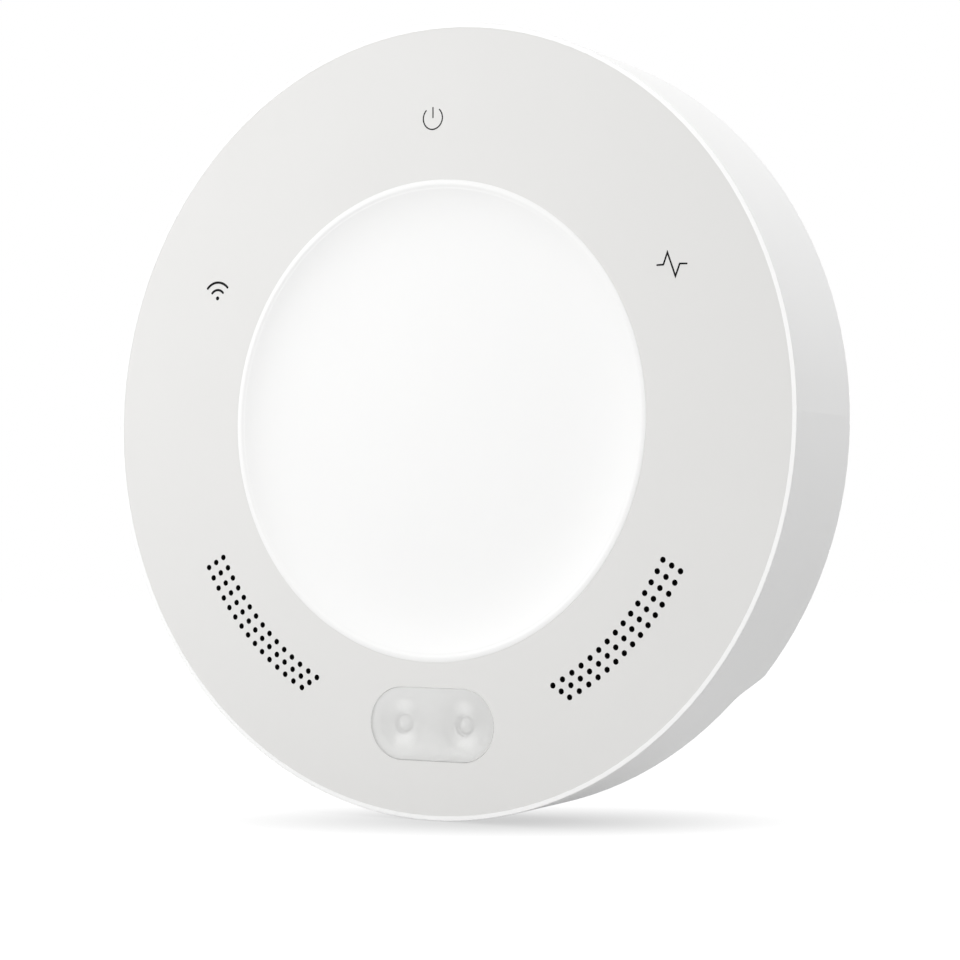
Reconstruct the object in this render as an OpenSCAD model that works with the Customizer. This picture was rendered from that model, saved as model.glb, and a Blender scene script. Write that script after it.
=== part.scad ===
// Garage door controller: a round wall unit with a warning light, alarm sounders and a door relay.
// Each piece is drawn flat on the bench, with X to the right, Y up the wall and Z out from the wall.
// It is then stood up: the wall plane is Y = 0, the face looks along -Y, and Z is up.

/* [Casing] */
// Diameter of the casing at its front lip
body_d = 130.4; // [126:0.2:140]
// Depth from the wall to the face
body_depth = 22.2; // [21.6:0.1:26]
// How much smaller the casing's radius is at the wall than at the face
draft = 0.6; // [0:0.1:1.2]
// Thickness of the casing's side wall
side_wall = 2.3; // [1.8:0.1:2.6]
// Thickness of the web behind the face plate
web_t = 1.8; // [1.6:0.1:2.2]
// Width of the white lip round the face plate
lip_w = 0.8; // [0.5:0.05:1]
// Rounding of the lip's outer edge
lip_round = 0.15; // [0.1:0.05:0.4]
// Rounding of the casing's rear edge
rear_round = 0.8; // [0.3:0.1:1.2]
// How far the casing's rear edge stays off the wall
rim_gap = 0.3; // [0:0.1:0.6]
// Clearance round a piece that is let into another
fit_gap = 0.1; // [0.05:0.01:0.15]

/* [Face] */
// Thickness of the grey face plate
plate_t = 1.2; // [1:0.1:1.6]
// Chamfer of the face plate's edges
plate_chamfer = 0.12; // [0.05:0.01:0.2]
// Width of the grey band from the casing's lip to the centre disc
band_w = 24.8; // [23.3:0.1:26.3]
// Width of the raised ring round the centre disc
ring_w = 0.75; // [0.6:0.05:1.4]
// Height of the step from the ring down to the dish
dish_step = 0.2; // [0.1:0.05:0.5]
// Depth of the dish at its middle, below the step
dish_sag = 0.8; // [0.3:0.1:1.2]
// Thickness of the centre disc under its dish
disc_t = 1.6; // [1.2:0.1:2]
// Width of the centre disc's seat on the web
disc_seat_w = 2.4; // [1.8:0.1:3]
// Width of the barb on each snap hook of the centre disc
hook_barb = 0.7; // [0.4:0.1:1]
// Distance of the marks and the sound holes from the edge of the face plate
mark_inset = 14.5; // [13.3:0.1:15.3]
// Angle from the top mark to each side mark
mark_angle = 62; // [58:0.5:64]
// Thickness of plate left in front of each light guide
mark_skin = 0.4; // [0.3:0.05:0.6]

/* [Sound holes] */
// Diameter of a sound hole
hole_d = 0.95; // [0.8:0.05:1.2]
// Sound holes along a row
hole_columns = 15; // [9:2:15]
// Distance between two holes of a row
hole_pitch = 2.03; // [1.74:0.01:2.08]
// Distance along the circle of the marks from the lens to the middle of a field of holes
hole_field_run = 39.6; // [38.3:0.1:40.9]
// Distance between two rows of holes
row_pitch = 1.76; // [1.5:0.02:1.9]
// Angle below the horizontal along which the rows are set apart
row_angle = 30; // [20:1:40]
// Thickness of the dark mesh behind the holes
mesh_t = 0.3; // [0.2:0.05:0.5]

/* [Warning light] */
// Width of the lens
lens_w = 23.8; // [22:0.2:25]
// Height of the lens
lens_h = 12; // [11:0.2:12.6]
// How much nearer to the centre the lens lies than the circle of the marks
lens_lift = 0.2; // [-0.6:0.1:1]
// Thickness of the lens
lens_wall = 1.2; // [1:0.1:1.5]
// Width of the flange behind the lens
lens_flange = 1.2; // [0.8:0.1:1.5]
// Distance from the web back to the light board
light_board_drop = 4.8; // [4.4:0.1:5]
// Thickness of the light board
light_board_t = 1.2; // [1:0.1:1.4]
// Width of a light emitter's square base
emitter_w = 3.4; // [3:0.1:3.6]
// Radius of a light emitter's dome
emitter_dome_r = 1.35; // [1:0.05:1.5]

/* [Sounders] */
// Length of a sounder
speaker_l = 30; // [28:0.5:31]
// Width of a sounder
speaker_w = 14; // [13.4:0.2:15]
// Depth of a sounder
speaker_h = 5.2; // [4.8:0.1:5.6]
// Thickness of the foam gasket in front of a sounder
gasket_t = 0.6; // [0.4:0.1:0.8]
// Wall of the sounder's frame
speaker_wall = 1.5; // [1.2:0.1:1.8]
// Distance of each fixing ear from the middle of the sounder
ear_reach = 17.8; // [17.4:0.1:18.4]
// Travel of a cone each way
cone_travel = 0.3; // [0.1:0.05:0.35]

/* [Main board] */
// Gap between the main board and the casing's side wall
board_gap = 8.8; // [8.3:0.1:9.7]
// Thickness of the main board
board_t = 1.6; // [1.4:0.1:1.8]
// Distance from the web back to the main board
board_drop = 8; // [7.8:0.1:8.2]
// Distance of the upper board posts from the main board's edge
upper_post_inset = 5.1; // [4.6:0.1:7]
// Angle of the upper board posts above the horizontal
upper_post_angle = 51.7; // [48:0.1:54]
// Distance of the lower board posts from the main board's edge
lower_post_inset = 7.9; // [7:0.1:9]
// Angle of the lower board posts below the horizontal
lower_post_angle = 15.3; // [12:0.1:17]
// Radius of a board post
post_r = 3; // [2.6:0.1:3.2]

/* [Rear cover] */
// Thickness of the rear cover
cover_t = 2; // [1.8:0.1:2.2]
// Clearance round the rear cover
cover_gap = 0.15; // [0.1:0.05:0.3]
// Distance of the case screws from the casing's side wall
case_screw_inset = 4.7; // [4.3:0.1:4.9]
// Angle of the upper case screws above the horizontal
upper_screw_angle = 45; // [40:1:48]
// Angle of the lower case screws below the horizontal
lower_screw_angle = 5; // [2:1:8]
// Radius of a case screw boss
case_boss_r = 3.2; // [3:0.1:3.3]
// Height of the rear cover's screw bosses
cover_boss_h = 4.2; // [4:0.1:4.6]
// Distance of the cable step below the centre
step_drop = 40; // [38.6:0.2:41]
// Length over which the cable step rises
step_run = 5.4; // [4:0.2:7]
// Height of the cable step
step_rise = 5.3; // [4:0.1:5.8]
// Width of the connector well
well_w = 56; // [52:1:58]
// Distance of the connector well's upper wall below the centre
well_drop = 34; // [34:0.1:34.6]
// Thickness of the connector well's walls
well_wall = 1.5; // [1.2:0.1:1.8]
// Thickness of the lip left below the connector well
well_lip = 2.4; // [1.6:0.1:3]
// Width between the two wall keyholes
keyhole_span = 60; // [56:1:64]
// Height of the keyholes' screw entries above the centre
keyhole_y = 14; // [11:0.5:16]
// Diameter of a keyhole's screw entry
keyhole_d = 8.2; // [7.6:0.1:9]
// Width of a keyhole's slot
keyhole_slot_w = 4.2; // [3.6:0.1:4.8]
// Length of a keyhole's slot, from the middle of the entry
keyhole_slot_l = 7; // [6:0.2:8]
// Gap between the pockets behind the keyholes and the main board
keyhole_gap = 2.1; // [1.7:0.1:2.7]
// Vent slots in the rear cover
vent_count = 9; // [5:2:11]
// Length of a vent slot
vent_l = 14; // [10:1:16]
// Width of a vent slot
vent_w = 1.6; // [1.2:0.1:2]

/* [Connectors] */
// Distance between the two wires of the door terminal
wire_pitch = 5; // [5:0.1:5.6]
// Radius of a wire hole
wire_r = 1.2; // [0.9:0.05:1.25]
// Gap between the door terminal and the rear cover
terminal_gap = 0.2; // [0.1:0.05:0.4]
// Distance of the door terminal to the left of the centre
terminal_x = 15; // [13:0.5:17]
// Travel of a wire release tab
tab_travel = 1; // [0.5:0.1:1.1]
// How far a release tab stands out of the terminal
tab_proud = 1.2; // [1.1:0.1:1.6]
// Distance of the power socket to the right of the centre
socket_x = 15; // [12:0.5:18]
// Width of the power socket
socket_w = 8; // [7.4:0.1:9]
// Height of the power socket
socket_h = 2.9; // [2.6:0.1:3.2]
// Radius of the reset button's stem
button_r = 1.5; // [1.2:0.1:1.6]
// Travel of the reset button
button_travel = 0.5; // [0.25:0.05:0.7]
// How far the reset button stands out of the well's wall
button_proud = 0.9; // [0.8:0.1:1.2]
// Clearance round a sliding piece
slide_gap = 0.06; // [0.04:0.01:0.1]

/* [Relay] */
// Length of the relay
relay_l = 18; // [17.4:0.2:20]
// Width of the relay
relay_w = 10; // [9:0.2:11]
// Gap between the relay and the rear cover
relay_gap = 0.6; // [0.3:0.1:1]
// Distance of the relay to the left of the centre
relay_x = 15; // [12:0.5:18]
// Distance of the relay below the centre
relay_drop = 15; // [12:0.5:16]
// Angle that the armature tilts through
armature_tilt = 6; // [3:0.5:7]

/* [Hidden] */
$fn = 96;
// Overlap that makes a cut or a join clean
eps = 0.5;

// Radii of the casing and its face
front_r = body_d / 2;
rear_r = front_r - draft;
wall_r = rear_r - side_wall;
seat_r = front_r - lip_w;
plate_r = seat_r - fit_gap;
disc_r = plate_r - band_w;
disc_hole_r = disc_r - disc_seat_w;
mark_circle_r = plate_r - mark_inset;
lens_drop = mark_circle_r - lens_lift;
cover_r = wall_r - cover_gap;
board_r = wall_r - board_gap;
case_screw_r = wall_r - case_screw_inset;

// Levels above the wall
seat_z = body_depth - plate_t;
web_z = seat_z - web_t;
board_z = web_z - board_drop;
board_back_z = board_z - board_t;
light_board_z = web_z - light_board_drop;
light_board_back_z = light_board_z - light_board_t;
speaker_top_z = web_z - gasket_t;
speaker_z = speaker_top_z - speaker_h;

// Heights of what stands between the main board and the rear cover
rear_room = board_back_z - cover_t;
terminal_h = rear_room - terminal_gap;
relay_h = rear_room - relay_gap;
keyhole_room = rear_room - keyhole_gap - well_wall;

// Screws: head radius, head height and shank radius
case_screw = [2.6, 1.9, 1.25];
board_screw = [2.2, 1.5, 1.15];
small_screw = [1.7, 1.2, 0.8];
// Radial clearance of a screw in the hole that it is driven into, and in a hole that it passes
thread_gap = 0.05;
pass_gap = 0.25;

// Connector well: its floor stays behind the light board's screw heads
well_clear = 0.4;
well_front_z = light_board_back_z - small_screw[1] - well_clear;
well_z = well_front_z - well_wall;
well_face_y = -(well_drop + well_wall);
// The main board stops above the well, and the connectors stand a little out of the well's wall
board_edge_y = -(well_drop - well_clear);
connector_proud = 0.5;
connector_y = well_face_y - connector_proud;

// Field of sound holes: angle between two holes, angle of its middle below the horizontal,
// and half its width
degrees_per_mm = 180 / PI / mark_circle_r;
hole_step = hole_pitch * degrees_per_mm;
hole_field_angle = 90 - hole_field_run * degrees_per_mm;
hole_half_angle = (hole_columns - 1) * hole_step / 2;
hole_margin = 1.2;
hole_end_margin = 1.4;
sound_r = [mark_circle_r - row_pitch - hole_margin, mark_circle_r + row_pitch + hole_margin];
sound_angle = hole_half_angle + hole_end_margin * degrees_per_mm;
mesh_margin = 0.7;

// Places of posts, screws, marks and light guides
upper_post_r = board_r - upper_post_inset;
lower_post_r = board_r - lower_post_inset;
board_posts = [
    for (s = [-1, 1]) upper_post_r * [s * cos(upper_post_angle), sin(upper_post_angle)],
    for (s = [-1, 1]) lower_post_r * [s * cos(lower_post_angle), -sin(lower_post_angle)]
];
case_angles = [
    upper_screw_angle, 180 - upper_screw_angle, 180 + lower_screw_angle, -lower_screw_angle
];
mark_angles = [90, 90 + mark_angle, 90 - mark_angle];
small_post_r = 2.2;
light_post_x = lens_w / 2 + lens_flange + small_post_r + 2 * fit_gap;
emitter_x = (lens_w - lens_h) / 2;
guide_r = 1.5;
guide_collar = [2.4, 0.8];
status_led_h = 0.8;

// An arc as a list of points
function arc_points(cx, cy, r, a0, a1, n) =
    [for (i = [0:n]) let (a = a0 + (a1 - a0) * i / n) [cx + r * cos(a), cy + r * sin(a)]];

// Rear surface of the back, as points of height above the wall against place up the wall
step_n = 14;
function step_curve(lift) = [
    for (i = [0:step_n])
        let (t = i / step_n)
        [-step_drop - step_run * t, lift + step_rise * (1 - cos(180 * t)) / 2]
];

// A round ended bar, flat
module stadium(l, w) {
    square([l - w, w], center = true);
    for (s = [-1, 1]) translate([s * (l - w) / 2, 0]) circle(d = w);
}

// A round ended bar of a given height
module pill(l, w, z0, z1) {
    translate([0, 0, z0]) linear_extrude(z1 - z0) stadium(l, w);
}

// Part of a ring between two radii and two angles
module ring_part(r0, r1, a0, a1, z0, z1) {
    rotate([0, 0, a0]) translate([0, 0, z0])
        rotate_extrude(angle = a1 - a0) translate([r0, 0]) square([r1 - r0, z1 - z0]);
}

// A post or hole along Z
module post(r, z0, z1) {
    translate([0, 0, z0]) cylinder(r = r, h = z1 - z0);
}

// A block from a low corner to a high corner
module block(a, b) {
    translate(a) cube(b - a);
}

// A flat outline of Y and Z, made solid along X
module across(width, points) {
    rotate([90, 0, 90]) linear_extrude(width, center = true) polygon(points);
}

// A pan head screw whose head sits below Z = 0 and whose shank runs up
module pan_screw(kind, shank_l) {
    slot = [kind[0] * 1.1, 0.5, kind[1] * 0.6];
    difference() {
        union() {
            post(kind[0], -kind[1], 0);
            post(kind[2], -eps, shank_l);
        }
        for (a = [0, 90])
            rotate([0, 0, a]) block([-slot[0] / 2, -slot[1] / 2, -kind[1] - eps],
                                    [slot[0] / 2, slot[1] / 2, -kind[1] + slot[2]]);
    }
}

// Stands a flat drawn piece up against the wall
module stand() {
    rotate([90, 0, 0]) children();
}

// Puts a piece at a radius and an angle about the middle of the face
module polar(r, a) {
    rotate([0, 0, a]) translate([r, 0, 0]) children();
}

// Puts a piece on one side of the face: -1 is the left side, 1 the right side
module side(s) {
    if (s < 0) mirror([1, 0, 0]) children();
    else children();
}

// Puts a piece at a sounder, whose length then runs along Y
module at_sounder(s) {
    side(s) polar(mark_circle_r, -hole_field_angle) children();
}

// Puts a piece on the main board's back, with Z growing towards the wall
module on_back(x, y) {
    translate([x, y, board_back_z]) mirror([0, 0, 1]) children();
}

// What lies behind the back's stepped surface
module behind_step(lift) {
    across(body_d, concat([[-step_drop, -body_depth]], step_curve(lift),
                          [[-body_d, lift + step_rise], [-body_d, -body_depth]]));
}

// Field of sound holes on one side, cut through the face plate
module sound_holes(s) {
    side(s)
        for (row = [-1, 0, 1], i = [0:hole_columns - 1]) {
            a = -hole_field_angle + hole_half_angle - i * hole_step;
            translate([mark_circle_r * cos(a) + row * row_pitch * cos(row_angle),
                       mark_circle_r * sin(a) - row * row_pitch * sin(row_angle), 0])
                post(hole_d / 2, seat_z - eps, body_depth + eps);
        }
}

// Sound opening or mesh pocket of one side, widened by a margin
module sound_field(s, margin, z0, z1) {
    spread = sound_angle + margin * degrees_per_mm;
    side(s) ring_part(sound_r[0] - margin, sound_r[1] + margin, -hole_field_angle - spread,
                      -hole_field_angle + spread, z0, z1);
}

// White moulded shell: side wall, lip, web behind the face, and the posts that carry the rest
module front_housing() {
    profile = concat(
        [[wall_r, rim_gap]],
        arc_points(rear_r - rear_round, rim_gap + rear_round, rear_round, -90, 0, 6),
        arc_points(front_r - lip_round, body_depth - lip_round, lip_round, 0, 90, 4),
        [[seat_r, body_depth], [seat_r, seat_z], [disc_hole_r, seat_z], [disc_hole_r, web_z],
         [front_r - side_wall, web_z]]);
    color("white") stand() difference() {
        union() {
            difference() {
                rotate_extrude() polygon(profile);
                behind_step(rim_gap);
            }
            for (a = case_angles) polar(case_screw_r, a) post(case_boss_r, cover_boss_h, web_z + eps);
            for (p = board_posts) translate(p) post(post_r, board_z, web_z + eps);
            for (s = [-1, 1]) {
                translate([s * light_post_x, -lens_drop])
                    post(small_post_r, light_board_z, web_z + eps);
                for (e = [-1, 1]) at_sounder(s) translate([0, e * ear_reach])
                    post(small_post_r, speaker_z + ear_t, web_z + eps);
            }
        }
        for (a = case_angles) polar(case_screw_r, a)
            post(case_screw[2] + thread_gap, cover_boss_h - eps, cover_boss_h + case_grip + eps);
        for (p = board_posts) translate(p)
            post(board_screw[2] + thread_gap, board_z - eps, board_z + board_grip + eps);
        for (s = [-1, 1]) {
            translate([s * light_post_x, -lens_drop])
                post(small_screw[2] + thread_gap, light_board_z - eps, light_board_z + small_grip + eps);
            for (e = [-1, 1]) at_sounder(s) translate([0, e * ear_reach])
                post(small_screw[2] + thread_gap, speaker_z, speaker_z + ear_t + small_grip + eps);
            sound_field(s, 0, web_z - eps, seat_z + eps);
            sound_field(s, mesh_margin + fit_gap, seat_z - mesh_t, seat_z + eps);
        }
        for (a = mark_angles) polar(mark_circle_r, a)
            post(guide_r + fit_gap, web_z - eps, seat_z + eps);
        translate([0, -lens_drop])
            pill(lens_w + 2 * fit_gap, lens_h + 2 * fit_gap, web_z - eps, seat_z + eps);
    }
}

// Light grey ring let into the front of the shell
module face_plate() {
    inner_r = disc_r + fit_gap;
    profile = [
        [inner_r, seat_z], [plate_r, seat_z], [plate_r, body_depth - plate_chamfer],
        [plate_r - plate_chamfer, body_depth], [inner_r + plate_chamfer, body_depth],
        [inner_r, body_depth - plate_chamfer]
    ];
    color("gainsboro") stand() difference() {
        rotate_extrude() polygon(profile);
        for (s = [-1, 1]) sound_holes(s);
        translate([0, -lens_drop])
            pill(lens_w + 2 * fit_gap, lens_h + 2 * fit_gap, seat_z - eps, body_depth + eps);
        for (a = mark_angles) polar(mark_circle_r, a)
            post(guide_r + fit_gap, seat_z - eps, body_depth - mark_skin);
    }
}

// White dished disc with a raised ring, held in the web by three snap hooks
module centre_disc() {
    dish_r = disc_r - ring_w;
    dish_top = body_depth - dish_step;
    cup_r = disc_hole_r - fit_gap;
    stem_r = cup_r - fit_gap;
    cup_z = dish_top - dish_sag - disc_t;
    ring_round = ring_w * 0.35;
    hook_z = [web_z - hook_t - slide_gap, web_z - slide_gap];
    hook_half_angle = 6;
    dish_n = 16;
    // The dish is flat in its middle and rises near the ring
    dish_power = 8;
    profile = concat(
        [[0, cup_z], [cup_r, cup_z], [cup_r, seat_z], [disc_r, seat_z]],
        arc_points(disc_r - ring_round, body_depth - ring_round, ring_round, 0, 90, 5),
        arc_points(dish_r + ring_round, body_depth - ring_round, ring_round, 90, 180, 5),
        [for (i = [0:dish_n - 1]) let (t = 1 - pow(i / dish_n, 2))
            [dish_r * t, dish_top - dish_sag * (1 - pow(t, dish_power))]],
        [[0, dish_top - dish_sag]]);
    color("white") stand() {
        rotate_extrude() polygon(profile);
        for (a = [90, 210, 330]) {
            ring_part(stem_r - hook_t, stem_r, a - hook_half_angle, a + hook_half_angle,
                      hook_z[0], cup_z + eps);
            ring_part(stem_r - hook_t, disc_hole_r + hook_barb, a - hook_half_angle,
                      a + hook_half_angle, hook_z[0], hook_z[1]);
        }
    }
}
hook_t = 1.2;

// Clear pill shaped cap over the warning light, with a flange behind the web
module warning_lens() {
    color("lightcyan") stand() translate([0, -lens_drop]) difference() {
        union() {
            pill(lens_w, lens_h, web_z - lens_flange_t, body_depth - lens_sunk);
            pill(lens_w + 2 * lens_flange, lens_h + 2 * lens_flange, web_z - lens_flange_t, web_z);
        }
        pill(lens_w - 2 * lens_wall, lens_h - 2 * lens_wall, web_z - lens_flange_t - eps,
             body_depth - lens_sunk - lens_wall);
    }
}
lens_flange_t = 1;
lens_sunk = 0.05;

// Pale reflector with a bowl round each light emitter, standing on the light board
// Its collar presses the lens's flange against the web
module lens_reflector() {
    inset = lens_wall + fit_gap;
    floor_t = 0.4;
    throat_gap = 0.3;
    mouth_rim = 0.3;
    collar_t = 1.2;
    collar_z = web_z - lens_flange_t;
    top = reflector_top_z;
    pocket_h = emitter_base_h + fit_gap;
    floor_z = light_board_z + pocket_h + floor_t;
    throat_r = emitter_dome_r + throat_gap;
    mouth_r = lens_h / 2 - inset - mouth_rim;
    bowl_n = 8;
    bowl = concat([[0, floor_z]],
        [for (i = [0:bowl_n]) let (t = i / bowl_n)
            [throat_r + (mouth_r - throat_r) * sqrt(t), floor_z + (top - floor_z) * t]],
        [[mouth_r, top + eps], [0, top + eps]]);
    pocket = emitter_w / 2 + fit_gap;
    color("whitesmoke") stand() translate([0, -lens_drop]) difference() {
        union() {
            pill(lens_w - 2 * inset, lens_h - 2 * inset, light_board_z, top);
            pill(lens_w + 2 * lens_flange, lens_h + 2 * lens_flange, collar_z - collar_t, collar_z);
        }
        for (s = [-1, 1]) translate([s * emitter_x, 0]) {
            rotate_extrude() polygon(bowl);
            post(throat_r, light_board_z - eps, floor_z + eps);
            block([-pocket, -pocket, light_board_z - eps], [pocket, pocket, light_board_z + pocket_h]);
        }
    }
}
lens_gap = 0.2;
reflector_top_z = body_depth - lens_sunk - lens_wall - lens_gap;
emitter_base_h = 0.8;

// Two light emitters: a square base with a round stem that ends in a dome behind the lens
module warning_leds() {
    tip_gap = 0.45;
    dome_h = reflector_top_z - tip_gap - emitter_dome_r - light_board_z;
    color("khaki") stand() for (s = [-1, 1]) translate([s * emitter_x, -lens_drop, light_board_z]) {
        block([-emitter_w / 2, -emitter_w / 2, 0], [emitter_w / 2, emitter_w / 2, emitter_base_h]);
        post(emitter_dome_r, 0, dome_h);
        intersection() {
            translate([0, 0, dome_h]) sphere(r = emitter_dome_r);
            post(emitter_dome_r + eps, emitter_base_h, dome_h + emitter_dome_r + eps);
        }
    }
}

// Small circuit board that carries the light emitters
module led_board() {
    end_margin = 2.6;
    board_inset = 1;
    color("seagreen") stand() translate([0, -lens_drop]) difference() {
        pill(2 * (light_post_x + end_margin), lens_h - board_inset, light_board_back_z, light_board_z);
        for (s = [-1, 1]) translate([s * light_post_x, 0])
            post(small_screw[2] + pass_gap, light_board_back_z - eps, light_board_z + eps);
    }
}

// Two screws that hold the light board on its posts
module led_board_screws() {
    color("silver") stand() for (s = [-1, 1])
        translate([s * light_post_x, -lens_drop, light_board_back_z])
            pan_screw(small_screw, light_board_t + small_grip);
}
small_grip = 2.6;

// Flat flexible lead from the light board over the well to the main board
module led_ribbon() {
    width = 7;
    t = 0.25;
    low = light_board_back_z - t;
    lap = 1.5;
    bend_gap = 1;
    landing = 4.5;
    start_y = -lens_drop + lap;
    bend_y = well_face_y - bend_gap;
    land_y = board_edge_y + lap;
    end_y = land_y + landing;
    color("ghostwhite") stand() across(width, [
        [start_y, low], [bend_y, low], [land_y, board_z], [end_y, board_z],
        [end_y, board_z + t], [land_y, board_z + t], [bend_y, low + t], [start_y, low + t]
    ]);
}

// Three clear pins that carry light from the main board to the marks
module icon_light_guides() {
    color("aliceblue") stand() for (a = mark_angles) polar(mark_circle_r, a) {
        post(guide_r, board_z + status_led_h + fit_gap, body_depth - mark_skin - fit_gap);
        post(guide_collar[0], web_z - guide_collar[1], web_z);
    }
}

// Dark mesh behind the sound holes of one side
module grille_mesh(s) {
    color("dimgray") stand() sound_field(s, mesh_margin, seat_z - mesh_t, seat_z);
}

// Foam ring between a sounder and the web
module speaker_gasket(s) {
    color("dimgray") stand() at_sounder(s) rotate([0, 0, 90]) difference() {
        pill(speaker_l, speaker_w, speaker_top_z, web_z);
        pill(speaker_l - 2 * gasket_w, speaker_w - 2 * gasket_w, speaker_top_z - eps, web_z + eps);
    }
}
gasket_w = 1.8;

// Moulded frame of a sounder, open in front, with a fixing ear at each end
module speaker_frame(s) {
    vent = [5, 1.6];
    color("black") stand() at_sounder(s) rotate([0, 0, 90]) difference() {
        union() {
            pill(speaker_l, speaker_w, speaker_z, speaker_top_z);
            difference() {
                pill(2 * (ear_reach + ear_r), 2 * ear_r, speaker_z, speaker_z + ear_t);
                pill(speaker_l - eps, speaker_w - eps, speaker_z - eps, speaker_top_z);
            }
        }
        pill(speaker_l - 2 * speaker_wall, speaker_w - 2 * speaker_wall, speaker_z + speaker_floor,
             speaker_top_z + eps);
        for (e = [-1, 1]) {
            translate([e * ear_reach, 0])
                post(small_screw[2] + pass_gap, speaker_z - eps, speaker_z + ear_t + eps);
            translate([0, e * (magnet_w / 2 + vent[1])])
                pill(vent[0], vent[1], speaker_z - eps, speaker_z + speaker_floor + eps);
        }
    }
}
ear_r = 2.6;
ear_t = 1.6;
speaker_floor = 0.8;

// Magnet with its pole plate, standing on the floor of the sounder
module speaker_magnet(s) {
    color("gray") stand() at_sounder(s) rotate([0, 0, 90])
        pill(magnet_l, magnet_w, speaker_z + speaker_floor, speaker_z + speaker_floor + magnet_h);
}
magnet_l = 15;
magnet_w = 5.6;
magnet_h = 2;

// Levels and sizes of a cone at rest, between the magnet and the gasket
cone_t = 0.4;
cone_gap = 0.5;
cone_z = speaker_top_z - cone_travel - cone_gap - cone_t;
surround_w = 0.9;
surround_inset = 0.05;
cone_l = speaker_l - 2 * speaker_wall - 2 * surround_w;
cone_w = speaker_w - 2 * speaker_wall - 2 * surround_w;
coil_gap = 0.4;
coil_t = 0.5;

// Cone of a sounder with its voice coil round the magnet
module speaker_cone(s) {
    cap_h = 0.3;
    coil_dip = 0.6;
    coil_z = speaker_z + speaker_floor + magnet_h - coil_dip;
    color("darkslategray") stand() at_sounder(s) rotate([0, 0, 90]) {
        pill(cone_l, cone_w, cone_z, cone_z + cone_t);
        pill(magnet_l, magnet_w, cone_z, cone_z + cone_t + cap_h);
        difference() {
            pill(magnet_l + 2 * (coil_gap + coil_t), magnet_w + 2 * (coil_gap + coil_t), coil_z,
                 cone_z + cone_t / 2);
            pill(magnet_l + 2 * coil_gap, magnet_w + 2 * coil_gap, coil_z - eps, cone_z);
        }
    }
}

// Soft ring that carries the cone in its frame
module speaker_surround(s) {
    color("darkgray") stand() at_sounder(s) rotate([0, 0, 90]) difference() {
        pill(cone_l + 2 * surround_w, cone_w + 2 * surround_w, cone_z + surround_inset,
             cone_z + cone_t - surround_inset);
        pill(cone_l, cone_w, cone_z - eps, cone_z + cone_t + eps);
    }
}

// Four screws that hold the sounders on their posts
module speaker_screws() {
    color("silver") stand() for (s = [-1, 1], e = [-1, 1])
        at_sounder(s) translate([0, e * ear_reach, speaker_z])
            pan_screw(small_screw, ear_t + small_grip);
}

// Leaf contacts that press from each sounder on the main board
module speaker_contacts() {
    t = 0.2;
    width = 1.4;
    foot = 1.6;
    reach = 2.2;
    color("gold") stand() for (s = [-1, 1], p = contact_places)
        at_sounder(s) translate([0, p, 0]) rotate([0, 0, 90]) across(width, [
            [-reach, board_z], [-reach + foot, board_z],
            [reach, speaker_z - t], [reach + foot, speaker_z - t],
            [reach + foot, speaker_z], [reach - t, speaker_z],
            [-reach + foot - t, board_z + t], [-reach, board_z + t]
        ]);
}
// Distances of the two contacts from the middle of the sounder, towards its upper end
contact_places = [6, 9];

// Round circuit board with a straight edge above the well
module main_board() {
    color("darkgreen") stand() difference() {
        intersection() {
            post(board_r, board_back_z, board_z);
            block([-body_d, board_edge_y, board_back_z - eps], [body_d, body_d, board_z + eps]);
        }
        for (p = board_posts) translate(p)
            post(board_screw[2] + pass_gap, board_back_z - eps, board_z + eps);
    }
}

// Four screws that hold the main board on its posts
module main_board_screws() {
    color("silver") stand() for (p = board_posts) translate([p[0], p[1], board_back_z])
        pan_screw(board_screw, board_t + board_grip);
}
board_grip = 5;

// Three small lamps, one under each light guide
module status_leds() {
    color("lightyellow") stand() for (a = mark_angles) polar(mark_circle_r, a) rotate([0, 0, -a])
        block([-status_led_l / 2, -status_led_w / 2, board_z],
              [status_led_l / 2, status_led_w / 2, board_z + status_led_h]);
}
status_led_l = 2;
status_led_w = 1.25;

// Chips on the front of the main board: middle of each, and its width, length and height
chip_places = [[-18, 4], [-2, 6], [-22, -12], [10, -18], [24, -20]];
chip_sizes = [[12, 12, 1.2], [8, 6, 1], [5, 4, 1.4], [6, 5, 1.5], [7, 7, 3]];
module board_chips() {
    color("black") stand() for (i = [0:len(chip_places) - 1]) {
        place = chip_places[i];
        size = chip_sizes[i];
        block([place[0] - size[0] / 2, place[1] - size[1] / 2, board_z],
              [place[0] + size[0] / 2, place[1] + size[1] / 2, board_z + size[2]]);
    }
}

// Upright capacitors on the front of the main board
capacitor_r = 3.1;
capacitor_h = 5.8;
capacitor_places = [[18, -5], [26, -5], [22, 4]];
module capacitors() {
    color("silver") stand() for (p = capacitor_places) translate(p)
        post(capacitor_r, board_z, board_z + capacitor_h);
}

// Wireless module: a small board near the top of the main board, with a bare antenna end
wifi_w = 18;
wifi_l = 24;
wifi_t = 0.8;
// Its upper edge stays clear of the lamp under the top mark
wifi_gap = 4.8;
wifi_y = [mark_circle_r - wifi_gap - wifi_l, mark_circle_r - wifi_gap];
module wifi_module() {
    color("midnightblue") stand()
        block([-wifi_w / 2, wifi_y[0], board_z], [wifi_w / 2, wifi_y[1], board_z + wifi_t]);
}

// Metal can over the wireless module's chips
module wifi_shield() {
    y = wifi_y[0] + shield_inset;
    color("silver") stand()
        block([-shield_w / 2, y, board_z + wifi_t],
              [shield_w / 2, y + shield_l, board_z + wifi_t + shield_h]);
}
shield_w = 15.6;
shield_l = 16;
shield_h = 2.2;
shield_inset = 1;

// Levels of the relay's pieces above the main board's back
relay_base_h = 1;
relay_skin = 0.5;
yoke_t = 0.8;
yoke_top_h = relay_base_h + yoke_t;
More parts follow.
